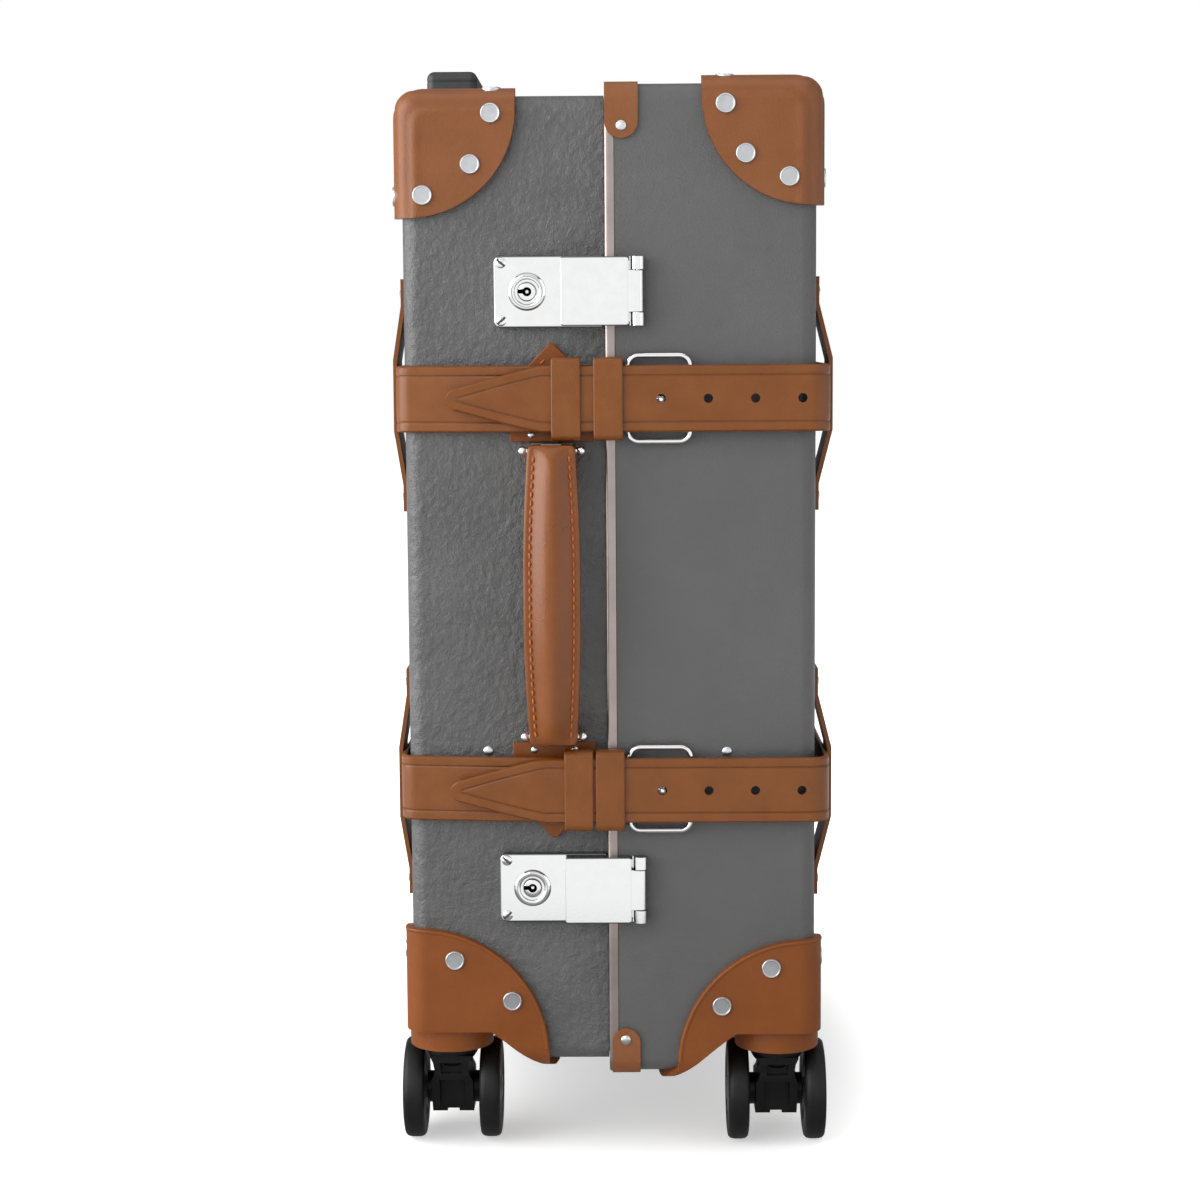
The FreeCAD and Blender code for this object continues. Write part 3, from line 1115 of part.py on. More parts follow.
BAR_X = "buckle_start + wire_radius"
BAR_RISE = "strap_lift + strap_leather / 2"
base_straps = []
lid_straps = []
tongues = []
bends = []
fixed_keepers = []
for level, sign in LEVELS.items():
    height = f"{MIDDLE} + {sign} * strap_spread"
    strap_z = (f"{height} - strap_width / 2", f"{height} + strap_width / 2")
    bar = (BAR_X, out(BAR_RISE))
    wrap_radius = "wire_radius + axle_fit + wrap_leather"

    base_run = padded(
        f"{level}_base_run",
        "XY_Plane",
        band(base_path[::-1], (30, bend, bend, 30), -leather),
        "strap_width",
    )
    place(base_run, "0", "0", strap_z[0])
    base_run.recompute()
    wrap = cylinder(f"{level}_wrap", "z", wrap_radius, bar, strap_z)
    bar_hole = cylinder(
        f"{level}_bar_hole",
        "z",
        "wire_radius + axle_fit",
        bar,
        (f"{strap_z[0]} - 1", f"{strap_z[1]} + 1"),
    )
    strap_whole = fuse(f"{level}_base_strap_whole", base_run, wrap)
    base_straps.append(cut(f"{level}_base_strap_bored", strap_whole, bar_hole))

    lid_run = padded(f"{level}_lid_run", "XY_Plane", band(lid_path, (bend, bend), leather), "strap_width")
    place(lid_run, "0", "0", strap_z[0])
    lid_run.recompute()
    holes = [
        cylinder(
            f"{level}_strap_hole_{number}",
            "y",
            "hole_radius",
            (f"hole_first + {number} * hole_pitch", height),
            (out("tongue_lift + strap_leather + 1"), out("tongue_lift - 1")),
        )
        for number in range(4)
    ]
    lid_straps.append(cut(f"{level}_lid_strap_holed", lid_run, *holes[1:]))

    half_strap = mm("strap_width") / 2
    nose = mm("tongue_nose")
    tip = -mm("tongue_tip")
    tongue_form = [
        (mm("tongue_join"), -half_strap),
        (mm("tongue_join"), half_strap),
        (-mm("tongue_shoulder"), half_strap),
        (tip + nose, nose),
        (tip + 0.3 * nose, 0.75 * nose),
        (tip, 0.3 * nose),
        (tip, -0.3 * nose),
        (tip + 0.3 * nose, -0.75 * nose),
        (tip + nose, -nose),
        (-mm("tongue_shoulder"), -half_strap),
    ]
    tongue_run = padded(f"{level}_tongue_run", "XZ_Plane", lines(tongue_form), "strap_leather")
    place(tongue_run, "0", out("tongue_lift"), height)
    tongue_run.recompute()
    tongues.append(cut(f"{level}_tongue", tongue_run, holes[0]))
    bend_y = (
        "base_width / 2 + lid_oversize + strap_far",
        "base_width / 2 + lid_oversize + strap_far + strap_leather",
    )
    bends.append(box(f"{level}_bend", ("-strap_split + seam_gap", "strap_split"), bend_y, strap_z))

    keeper_low = f"{BAR_RISE} - strap_leather / 2 - keeper_slack"
    keeper_high = "tongue_lift + strap_leather + keeper_slack"
    keeper_starts = {"fixed": "keeper_end", "sliding": f"keeper_end - keeper_width - {level}_keeper_gap"}
    for kind, right in keeper_starts.items():
        x = (f"{right} - keeper_width", right)
        wide_x = (f"{x[0]} - 1", f"{x[1]} + 1")
        outer_y = (out(f"{keeper_high} + keeper_leather"), out(f"{keeper_low} - keeper_leather"))
        outer_z = (f"{height} - keeper_half", f"{height} + keeper_half")
        inner_z = (f"{outer_z[0]} + keeper_leather", f"{outer_z[1]} - keeper_leather")
        block = box(f"{level}_{kind}_keeper_block", x, outer_y, outer_z)
        block = rounded(block, 2.5, (9, 10, 11, 12))
        opening = box(
            f"{level}_{kind}_keeper_opening", wide_x, (out(keeper_high), out(keeper_low)), inner_z
        )
        opening = rounded(opening, 1.1, (9, 10, 11, 12))
        keeper = cut(f"{level}_{kind}_keeper_ring", block, opening)
        if kind == "fixed":
            fixed_keepers.append(keeper)
        else:
            node(f"{level}_sliding_keeper", keeper)

    frame_x = ("buckle_start", "buckle_start + buckle_length")
    frame_y = (out(f"{BAR_RISE} + wire_radius"), out(f"{BAR_RISE} - wire_radius"))
    frame_z = (f"{height} - buckle_half", f"{height} + buckle_half")
    wide_y = (out(f"{BAR_RISE} + 5"), out(f"{BAR_RISE} - 5"))
    frame = rounded(
        box(f"{level}_buckle_block", frame_x, frame_y, frame_z), mm("buckle_corner"), (2, 4, 6, 8)
    )
    gap_x = (f"{frame_x[0]} + 2 * wire_radius", f"{frame_x[1]} - 2 * wire_radius")
    gap_z = (f"{frame_z[0]} + 2 * wire_radius", f"{frame_z[1]} - 2 * wire_radius")
    gap = box(f"{level}_buckle_gap", gap_x, wide_y, gap_z)
    gap = rounded(gap, mm("buckle_corner") - 2 * mm("wire_radius"), (2, 4, 6, 8))
    bar_z = (f"{strap_z[0]} - 0.3", f"{strap_z[1]} + 0.3")
    bar_room = box(f"{level}_bar_room", (f"{frame_x[0]} - 1", f"{gap_x[0]} + 0.5"), wide_y, bar_z)
    round_bar = cylinder(
        f"{level}_buckle_bar", "z", "wire_radius", bar, (f"{bar_z[0]} - 0.2", f"{bar_z[1]} + 0.2")
    )
    stud_x = ("hole_first - wire_radius", "hole_first + wire_radius")
    cross = box(f"{level}_buckle_cross", stud_x, frame_y, (f"{gap_z[0]} - 1", f"{gap_z[1]} + 1"))
    prong = cylinder(f"{level}_buckle_prong", "y", "wire_radius + 0.3", ("hole_first", height),
                     (out("tongue_lift + strap_leather + 0.2"), out(BAR_RISE)))
    frame = cut(f"{level}_buckle_frame", frame, gap, bar_room)
    node(f"{level}_buckle", fuse(f"{level}_buckle_whole", frame, round_bar, cross, prong))
group("base_straps", base_straps)
group("lid_straps", lid_straps)
group("strap_tongues", tongues)
group("strap_bends", bends)
group("fixed_keepers", fixed_keepers)

# Leather loops that hold the straps to the back and front faces.
for key, half in HALVES.items():
    lift = mm("strap_back") if half["side"] < 0 else mm("strap_front")
    under = lift + leather + 0.3
    thick = mm("loop_leather")
    gap = mm("seat_gap")
    reach = mm("loop_half")
    flat = reach - mm("loop_seat")
    over = mm("strap_width") / 2 + 1
    right_half = [
        (gap, reach), (gap, flat), (under, over), (under, -over), (gap, -flat), (gap, -reach),
        (gap + thick, -reach), (gap + thick, -flat - 1), (under + thick, -over - 1),
        (under + thick, over + 1), (gap + thick, flat + 1), (gap + thick, reach),
    ]
    side = half["side"]
    form = [(side * (face_at[key] + a), b) for a, b in right_half]
    loops = []
    for end, sign in ENDS.items():
        for level, up in LEVELS.items():
            strip = padded(
                f"{key}_{end}_{level}_loop", "XZ_Plane", lines(form), "loop_width", symmetric=True
            )
            y = f"{sign} * ({half['half']} - loop_inset - loop_width / 2)"
            place(strip, "0", y, f"{MIDDLE} + {up} * strap_spread")
            strip.recompute()
            loops.append(cut(f"{key}_{end}_{level}_loop_holed", strip, holes_of[key]))
    group(f"{key}_strap_loops", loops)

# Hinges on the far side: cranked leaves with three knuckles on one pin.
HINGE_Y = "base_width / 2 + lid_oversize + hinge_rise"
base_leaves = []
lid_leaves = []
hinge_pins = []
for number, level in enumerate((-1, 0, 1)):
    height = f"{MIDDLE} + {level} * hinge_spread"
    z = (f"{height} - hinge_half", f"{height} + hinge_half")
    third = "hinge_half / 3"
    base_y = ("base_width / 2", "base_width / 2 + hinge_plate")
    lid_y = ("base_width / 2 + lid_oversize", "base_width / 2 + lid_oversize + hinge_plate")
    riser_x = "-hinge_knuckle - 0.3"
    plate = box(f"hinge_{number}_base_plate", ("-hinge_leaf", riser_x), base_y, z)
    riser = box(
        f"hinge_{number}_riser",
        (f"{riser_x} - hinge_plate", riser_x),
        (base_y[0], f"{HINGE_Y} + 1.2"),
        z,
    )
    pieces = [plate, riser]
    for up in (-1, 1):
        inner_z = f"{height} + {up} * ({third} + 0.15)"
        end_z = f"{height} + {up} * hinge_half"
        span = (inner_z, end_z) if up > 0 else (end_z, inner_z)
        word = "top" if up > 0 else "bottom"
        pieces.append(
            box(
                f"hinge_{number}_{word}_bridge",
                (riser_x, "0"),
                (f"{HINGE_Y} - 1.2", f"{HINGE_Y} + 1.2"),
                span,
            )
        )
        pieces.append(
            cylinder(f"hinge_{number}_{word}_knuckle", "z", "hinge_knuckle", ("0", HINGE_Y), span)
        )
    leaf = fuse(f"hinge_{number}_base_whole", *pieces)
    bore = cylinder(
        f"hinge_{number}_base_bore",
        "z",
        "hinge_pin + axle_fit",
        ("0", HINGE_Y),
        (f"{z[0]} - 1", f"{z[1]} + 1"),
    )
    base_leaves.append(cut(f"hinge_{number}_base_leaf", leaf, bore, holes_of["base"]))

    lid_plate = box(f"hinge_{number}_lid_plate", ("hinge_knuckle + 0.4", "hinge_leaf"), lid_y, z)
    mid_z = (f"{height} - ({third} - 0.15)", f"{height} + {third} - 0.15")
    lid_bridge = box(
        f"hinge_{number}_lid_bridge",
        ("0", "hinge_knuckle + 1"),
        (f"{lid_y[0]} + 0.4", f"{lid_y[1]} + 1"),
        mid_z,
    )
    lid_knuckle = cylinder(f"hinge_{number}_lid_knuckle", "z", "hinge_knuckle", ("0", HINGE_Y), mid_z)
    lid_leaf = fuse(f"hinge_{number}_lid_whole", lid_plate, lid_bridge, lid_knuckle)
    lid_bore = cylinder(
        f"hinge_{number}_lid_bore",
        "z",
        "hinge_pin + axle_fit",
        ("0", HINGE_Y),
        (f"{z[0]} - 1", f"{z[1]} + 1"),
    )
    lid_leaves.append(cut(f"hinge_{number}_lid_leaf", lid_leaf, lid_bore, holes_of["lid"]))
    hinge_pins.append(cylinder(f"hinge_{number}_pin", "z", "hinge_pin", ("0", HINGE_Y), z))
group("hinge_base_leaves", base_leaves)
group("hinge_lid_leaves", lid_leaves)
group("hinge_pins", hinge_pins)

# Casters: a swivelling fork with its axle between two wheels, under each corner.
radius = mm("wheel_radius")
half_wheel = mm("wheel_width") / 2
bore_radius = mm("axle_radius") + mm("axle_fit")
for key in HALVES:
    for end in ENDS:
        name = f"{key}_{end}"
        x, y = caster_centre(key, end)
        axle_y = f"{y} + caster_trail"
        trail = mm("caster_trail")
        neck = mm("fork_neck")
        foot = mm("fork_foot")
        side_view = [
            (-13, neck), (13, neck), (trail + 13, neck - 16), (trail + 11, foot + 4), (trail + 8, foot),
            (trail - 8, foot), (trail - 11, foot + 4), (-8, neck - 12), (-13, neck - 5),
        ]
        block = padded(f"{name}_fork_block", "YZ_Plane", lines(side_view), "2 * fork_half", symmetric=True)
        place(block, x, y, "0")
        block.recompute()
        disc = cylinder(f"{name}_fork_disc", "z", "fork_disc", (x, y), ("fork_neck - 0.5", "fork_top"))
        stem = cylinder(f"{name}_stem", "z", "stem_radius", (x, y), ("fork_neck", "well_top + liner - 0.5"))
        hub = cylinder(
            f"{name}_fork_hub",
            "x",
            "8",
            (axle_y, "wheel_radius"),
            (
                f"{x} - wheel_spread + wheel_width / 2 + 0.4",
                f"{x} + wheel_spread - wheel_width / 2 - 0.4",
            ),
        )
        upper = box(f"{name}_upper_window", (f"{x} - 6.5", f"{x} + 6.5"), (f"{y} - 20", f"{y} - 8"),
                    ("fork_neck - 10", "fork_neck - 3.5"))
        lower = box(
            f"{name}_lower_window",
            (f"{x} - 6.5", f"{x} + 6.5"),
            (f"{y} - 20", f"{y} + caster_trail - 9.2"),
            ("fork_foot - 1", "fork_neck - 14"),
        )
        notch = box(
            f"{name}_notch",
            (f"{x} - 3", f"{x} + 3"),
            (f"{y} - 20", f"{y} + 40"),
            ("fork_foot - 1", "fork_foot + 1.8"),
        )
        axle_span = (
            f"{x} - wheel_spread - wheel_width / 2 + 2.6", f"{x} + wheel_spread + wheel_width / 2 - 2.6"
        )
        axle_hole = cylinder(
            f"{name}_axle_hole", "x", "axle_radius + 0.03", (axle_y, "wheel_radius"), axle_span
        )
        axle = cylinder(f"{name}_axle", "x", "axle_radius", (axle_y, "wheel_radius"), axle_span)
        whole = fuse(f"{name}_fork_whole", block, disc, stem, hub)
        fork = cut(f"{name}_fork_cut", whole, upper, lower, notch, axle_hole)
        group(f"{name}_fork", [fork, axle])

        for hand, way in (("left", -1), ("right", 1)):
            face = half_wheel - 1
            profile = [
                (-half_wheel, bore_radius),
                (-half_wheel, 7.5),
                (-1.5, 8.5),
                (-1.5, 18.5),
                (-half_wheel + 0.6, 19.5),
                (-half_wheel, 20.5),
                (-half_wheel, radius - 3),
                (-half_wheel + 1, radius - 1),
                (-half_wheel + 3, radius),
                (half_wheel - 3, radius),
                (half_wheel - 1, radius - 1),
                (half_wheel, radius - 3),
                (half_wheel, 20.5),
                (face, 19.5),
                (face, 0),
                (half_wheel - 2.3, 0),
                (half_wheel - 2.3, bore_radius),
            ]
            points = [(way * a, b) for a, b in profile]
            wheel = turned(f"{name}_{hand}_wheel_body", "XZ_Plane", points, "H_Axis")
            place(wheel, f"{x} + {way} * wheel_spread", axle_y, "wheel_radius")
            wheel.recompute()
            node(f"{name}_{hand}_wheel", wheel)

doc.recompute()
faults = []
for item in doc.Objects:
    if "Invalid" in item.State or "Error" in item.State:
        faults.append(f"{item.Name}: {item.State}")
for label, solid in nodes.items():
    if solid.Shape.isNull() or not solid.Shape.isValid():
        faults.append(f"{label}: bad shape")
if faults:
    raise RuntimeError("; ".join(faults))

os.makedirs("parts", exist_ok=True)
for label, solid in nodes.items():
    solid.Shape.exportStep(f"parts/{label}.step")
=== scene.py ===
import math

import bmesh
import bpy
from mathutils import Matrix, Vector
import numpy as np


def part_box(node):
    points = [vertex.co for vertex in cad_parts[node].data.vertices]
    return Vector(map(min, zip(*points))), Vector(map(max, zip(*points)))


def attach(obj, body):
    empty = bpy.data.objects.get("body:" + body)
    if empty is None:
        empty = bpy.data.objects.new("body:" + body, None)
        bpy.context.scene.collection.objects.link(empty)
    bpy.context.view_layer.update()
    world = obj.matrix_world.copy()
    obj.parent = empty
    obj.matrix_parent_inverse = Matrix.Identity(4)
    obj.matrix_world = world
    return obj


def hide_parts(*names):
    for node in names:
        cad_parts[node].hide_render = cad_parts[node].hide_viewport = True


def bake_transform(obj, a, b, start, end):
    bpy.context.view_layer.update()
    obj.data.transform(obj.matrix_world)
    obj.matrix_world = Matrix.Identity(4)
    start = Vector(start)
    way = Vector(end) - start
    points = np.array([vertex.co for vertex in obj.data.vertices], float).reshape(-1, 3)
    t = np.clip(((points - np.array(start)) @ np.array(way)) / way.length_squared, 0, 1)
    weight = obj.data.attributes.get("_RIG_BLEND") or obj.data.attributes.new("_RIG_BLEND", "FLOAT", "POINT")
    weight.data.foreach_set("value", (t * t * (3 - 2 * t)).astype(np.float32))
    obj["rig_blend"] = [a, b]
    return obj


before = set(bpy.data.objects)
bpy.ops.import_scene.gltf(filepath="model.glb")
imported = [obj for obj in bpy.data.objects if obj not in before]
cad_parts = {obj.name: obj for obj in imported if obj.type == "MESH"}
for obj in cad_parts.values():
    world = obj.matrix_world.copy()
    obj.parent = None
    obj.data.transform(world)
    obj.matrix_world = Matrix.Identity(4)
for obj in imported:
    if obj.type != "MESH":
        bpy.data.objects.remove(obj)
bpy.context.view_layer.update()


# Shells.
# The base and the lid are trays of grey vulcanised fibre, pressed over a form with rounded edges.
# Their outside is pebbled and a little wavy, the base more than the lid.
MM = 1000
WELD_METRES = 2e-6
SHARP_DEGREES = 35


def shader(tree, kind, values=None, feeds=None, **looks):
    """Adds a node to a finish: looks are its settings, values and feeds go to its sockets."""
    node = tree.nodes.new(f"ShaderNode{kind}")
    for name, look in looks.items():
        setattr(node, name, look)
    for socket, value in (values or {}).items():
        node.inputs[socket].default_value = value
    for socket, output in (feeds or {}).items():
        tree.links.new(output, node.inputs[socket])
    return node


def finish(name, dark, light, rough, metal=0.0, specular=0.5, mottle=40.0, grain=1100.0, depth=0.0001,
           wave=0.0, wave_scale=90.0, stretch=1.0, shade_tone=0.45):
    """Material of two tones with a pebbled surface; a per-point attribute darkens it for burnished creases,
    painted shade and painted dark reflection.
    """
    material = bpy.data.materials.new(name)
    material.use_nodes = True
    tree = material.node_tree
    surface = tree.nodes["Principled BSDF"]
    surface.inputs["Metallic"].default_value = metal
    surface.inputs["Specular IOR Level"].default_value = specular
    place = shader(tree, "TexCoord").outputs["Object"]

    cloud = shader(tree, "TexNoise", {"Scale": mottle, "Detail": 5.0, "Roughness": 0.6}, {"Vector": place})
    tones = shader(tree, "ValToRGB", feeds={"Fac": cloud.outputs["Fac"]})
    for stop, position, tone in zip(tones.color_ramp.elements, (0.30, 0.70), (dark, light)):
        stop.position = position
        stop.color = (*tone, 1)
    # Painted shade: the per-point attribute multiplies the colour towards a darker tone where shade or a dark
    # reflection falls, and on burnished creases.
    shade_mask = shader(tree, "Attribute", attribute_name="painted_shade_and_burnish")
    warm = 1 if metal else 0.88
    shaded_colour = (shade_tone, shade_tone * warm, shade_tone * warm ** 2, 1)
    shade = shader(tree, "Mix", {"B": shaded_colour},
                   {"Factor": shade_mask.outputs["Fac"], "A": tones.outputs["Color"]},
                   data_type="RGBA", blend_type="MULTIPLY")
    gloss = shader(tree, "MapRange", {"To Min": max(0.03, rough - 0.06), "To Max": min(1.0, rough + 0.08)},
                   {"Value": cloud.outputs["Fac"]})

    pebble = shader(tree, "TexVoronoi", {"Scale": grain}, {"Vector": place})
    drawn = shader(tree, "Mapping", {"Scale": (1, 1, stretch)}, {"Vector": place}).outputs["Vector"]
    swell = shader(tree, "TexNoise", {"Scale": wave_scale, "Detail": 4.0}, {"Vector": drawn})
    height = shader(tree, "Math", {1: wave}, {0: swell.outputs["Fac"], 2: pebble.outputs["Distance"]},
                    operation="MULTIPLY_ADD")
    relief = shader(tree, "Bump", {"Strength": 1.0, "Distance": depth}, {"Height": height.outputs["Value"]})
    for socket, output in (("Base Color", shade.outputs["Result"]), ("Roughness", gloss.outputs["Result"]),
                           ("Normal", relief.outputs["Normal"])):
        tree.links.new(output, surface.inputs[socket])
    return material


def fresh():
    """Empty mesh in millimetres, with the layer that tells how far each point is darkened by burnish and
    painted shade.
    """
    mesh = bmesh.new()
    mesh.verts.layers.float.new("painted_shade_and_burnish")
    return mesh


def taken(name):
    """Merged copy of a node of the frame, in millimetres."""
    mesh = fresh()
    mesh.from_mesh(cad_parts[name].data)
    bmesh.ops.remove_doubles(mesh, verts=mesh.verts, dist=WELD_METRES)
    bmesh.ops.scale(mesh, vec=(MM, MM, MM), verts=mesh.verts)
    return mesh


def made(name, mesh, material):
    """Turns a mesh in millimetres into an object of the scene."""
    bmesh.ops.scale(mesh, vec=(1 / MM, 1 / MM, 1 / MM), verts=mesh.verts)
    data = bpy.data.meshes.new(name)
    mesh.to_mesh(data)
    mesh.free()
    data.shade_smooth()
    data.set_sharp_from_angle(angle=math.radians(SHARP_DEGREES))
    data.materials.append(material)
    piece = bpy.data.objects.new(name, data)
    bpy.context.scene.collection.objects.link(piece)
    even = piece.modifiers.new("even_shading", "WEIGHTED_NORMAL")
    even.keep_sharp = True
    return piece


def fitted(name, mesh, material, body, slot, *stands_for):
    """Makes a piece that rides on a body and stands for solids of the frame."""
    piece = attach(made(name, mesh, material), body)
    if stands_for:
        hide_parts(*stands_for)
    return piece


base_fibre = finish("base_fibre", (0.092, 0.092, 0.092), (0.120, 0.120, 0.120), 0.34, specular=0.5,
                    mottle=34, grain=1300, depth=0.00017, wave=6.5, wave_scale=260, stretch=0.9)
lid_fibre = finish("lid_fibre", (0.104, 0.104, 0.104), (0.118, 0.118, 0.118), 0.38, specular=0.45,
                   mottle=22, grain=1300, depth=0.00012, wave=3.0, wave_scale=120)
fitted("base_tray", taken("base_shell"), base_fibre, "base", "shell", "base_shell")
fitted("lid_tray", taken("lid_shell"), lid_fibre, "lid", "shell", "lid_shell")


# Lip frame and rim.
# A wooden lip inside the base keeps the lid in line. The edge of the lid is bound by a drawn metal
# strip with a domed face and a flange behind the fibre.
def boxed(name):
    """Lowest and highest corner of a solid of the frame, in millimetres."""
    return [Vector(corner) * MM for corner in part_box(name)]


CASE = {}
for half, side in (("base", -1), ("lid", 1)):
    low, high = boxed(f"{half}_shell")
    CASE[half] = {"side": side, "face": max(-low.x, high.x), "half": high.y, "low": low.z, "high": high.z}
SHELL_EDGE, MERGE_GAP = 8.0, 0.001
SIDEWAYS = Vector((1, 0, 0))


def looped(mesh, stations, sections):
    """Sweeps closed sections along stations (point, across, out); a closed run joins its ends."""
    around = len(sections[0])
    layer = mesh.verts.layers.float["painted_shade_and_burnish"]
    grid = bmesh.ops.create_grid(mesh, x_segments=len(stations) - 1, y_segments=around, size=1)
    for vert in grid["verts"]:
        row = round((vert.co.x + 1) / 2 * (len(stations) - 1))
        column = round((vert.co.y + 1) / 2 * around) % around
        point, across, out = stations[row]
        side, rise, painted_shade_and_burnish = sections[row % len(sections)][column]
        vert.co = point + across * side + out * rise
        vert[layer] = painted_shade_and_burnish


def cleaned(mesh):
    """Merges doubles, closes open ends and turns every face outwards."""
    bmesh.ops.remove_doubles(mesh, verts=mesh.verts, dist=MERGE_GAP)
    bmesh.ops.dissolve_degenerate(mesh, dist=MERGE_GAP, edges=mesh.edges)
    rims = [edge for edge in mesh.edges if edge.is_boundary]
    bmesh.ops.holes_fill(mesh, edges=rims, sides=0)
    bmesh.ops.recalc_face_normals(mesh, faces=mesh.faces)
    return mesh


def softened(mesh, width, steps=2, angle=40):
    """Rounds the sharp edges of a copied solid."""
    bmesh.ops.dissolve_limit(mesh, angle_limit=math.radians(1), verts=mesh.verts, edges=mesh.edges)
    sharp = [edge for edge in mesh.edges
             if edge.is_manifold and edge.calc_face_angle(0) > math.radians(angle)]
    bmesh.ops.bevel(mesh, geom=sharp, offset=width, offset_type="OFFSET", affect="EDGES",
                    segments=steps, profile=0.5, material=-1, clamp_overlap=True)
    return mesh


def rim_ring(sizes):
    """Stations round the rounded opening of a half, in the plane of the seam."""
    stations = []
    corners = ((1, "high", 0), (-1, "high", 90), (-1, "low", 180), (1, "low", 270))
    for side, level, start in corners:
        inwards = -SHELL_EDGE if level == "high" else SHELL_EDGE
        hub = Vector((0, side * (sizes["half"] - SHELL_EDGE), sizes[level] + inwards))
        for step in range(9):
            turn = math.radians(start + 90 * step / 8)
            out = Vector((0, math.cos(turn), math.sin(turn)))
            stations.append((hub + out * SHELL_EDGE, SIDEWAYS, out))
    stations.append(stations[0])
    return stations


rim_metal = finish("rim_metal", (0.36, 0.31, 0.29), (0.45, 0.39, 0.37), 0.36, metal=1.0, mottle=60,
                   grain=2500, depth=0.00002)
RIM_SECTION = ((0.3, -3.85, 0), (0.3, 0.0, 0), (0.7, 0.5, 0), (1.3, 0.72, 0), (2.2, 0.70, 0),
               (4.3, 0.42, 0), (4.75, 0.2, 0), (4.95, -0.2, 0), (4.95, -3.05, 0), (10.0, -3.05, 0),
               (10.0, -3.85, 0))
rim = fresh()
looped(rim, rim_ring(CASE["lid"]), [RIM_SECTION])
fitted("rim_strip", cleaned(rim), rim_metal, "lid", "rim", "lid_rim")

lip_wood = finish("lip_wood", (0.30, 0.20, 0.11), (0.42, 0.30, 0.18), 0.5, mottle=70, grain=700,
                  depth=0.00006, wave=3.0, wave_scale=60, stretch=0.1)
fitted("lip_frame", softened(taken("base_lip_frame"), 0.5), lip_wood, "base", "frame",
       "base_lip_frame")


# Linings.
# Both halves are lined with a woven cotton over card, which is glued to the fibre. The base has a
# false floor that hides the tubes of the trolley.
def woven(name, dark, light, threads):
    """Cloth with a plain weave of crossing threads."""
    material = finish(name, dark, light, 0.85, specular=0.2, mottle=90, grain=1800, depth=0.00005)
    tree = material.node_tree
    place = tree.nodes["Texture Coordinate"].outputs["Object"]
    total = None
    for way in "XYZ":
        wave = shader(tree, "TexWave", {"Scale": threads, "Distortion": 0.6}, {"Vector": place},
                      bands_direction=way).outputs["Fac"]
        if total is None:
            total = wave
        else:
            total = shader(tree, "Math", feeds={0: total, 1: wave}, operation="ADD").outputs["Value"]
    tree.links.new(total, tree.nodes["Bump"].inputs["Height"])
    return material


lining_cotton = woven("lining_cotton", (0.40, 0.33, 0.24), (0.50, 0.43, 0.33), 260)
for half in CASE:
    fitted(f"{half}_lining_cloth", softened(taken(f"{half}_lining"), 0.3), lining_cotton, half, "lining",
           f"{half}_lining")


# Corner caps.
# The four upper corners wear caps of thick tan leather, moulded wet over the corner with a soft
# ridge inside their edges and cut to an arc. Three rivets hold each face.
# The valley inside the ridge and the cut edges of each cap carry painted shade.
CAP_SKIN, CAP_THICK, CAP_REACH = 3.5, 3.4, 52.9
CAP_INSET = Vector((3.5, 5.5, 6.2))
CAP_BLANK, CAP_CUTS, CAP_GAP = 66.0, 44, 0.01
VALLEY_IN, VALLEY_DEEP, VALLEY_SHADE = 7.0, 0.42, 0.16
RIDGE_IN, RIDGE_HIGH, RIDGE_TURN, RIDGE_WIDE = 10.8, 0.40, 7.0, 2.1
CAP_EDGE, CAP_EDGE_SHADE = 0.9, 0.5


def added(whole, part):
    """Puts a finished part into a larger mesh."""
    loose = bpy.data.meshes.new("loose")
    part.to_mesh(loose)
    part.free()
    whole.from_mesh(loose)
    bpy.data.meshes.remove(loose)


def split(mesh, place, normal, keep=0, gap=MERGE_GAP):
    """Cuts a mesh along a plane; keep 1 leaves only what lies before it, and -1 what lies behind."""
    bmesh.ops.bisect_plane(mesh, geom=mesh.verts[:] + mesh.edges[:] + mesh.faces[:], dist=gap,
                           plane_co=place, plane_no=normal, clear_outer=keep < 0, clear_inner=keep > 0)


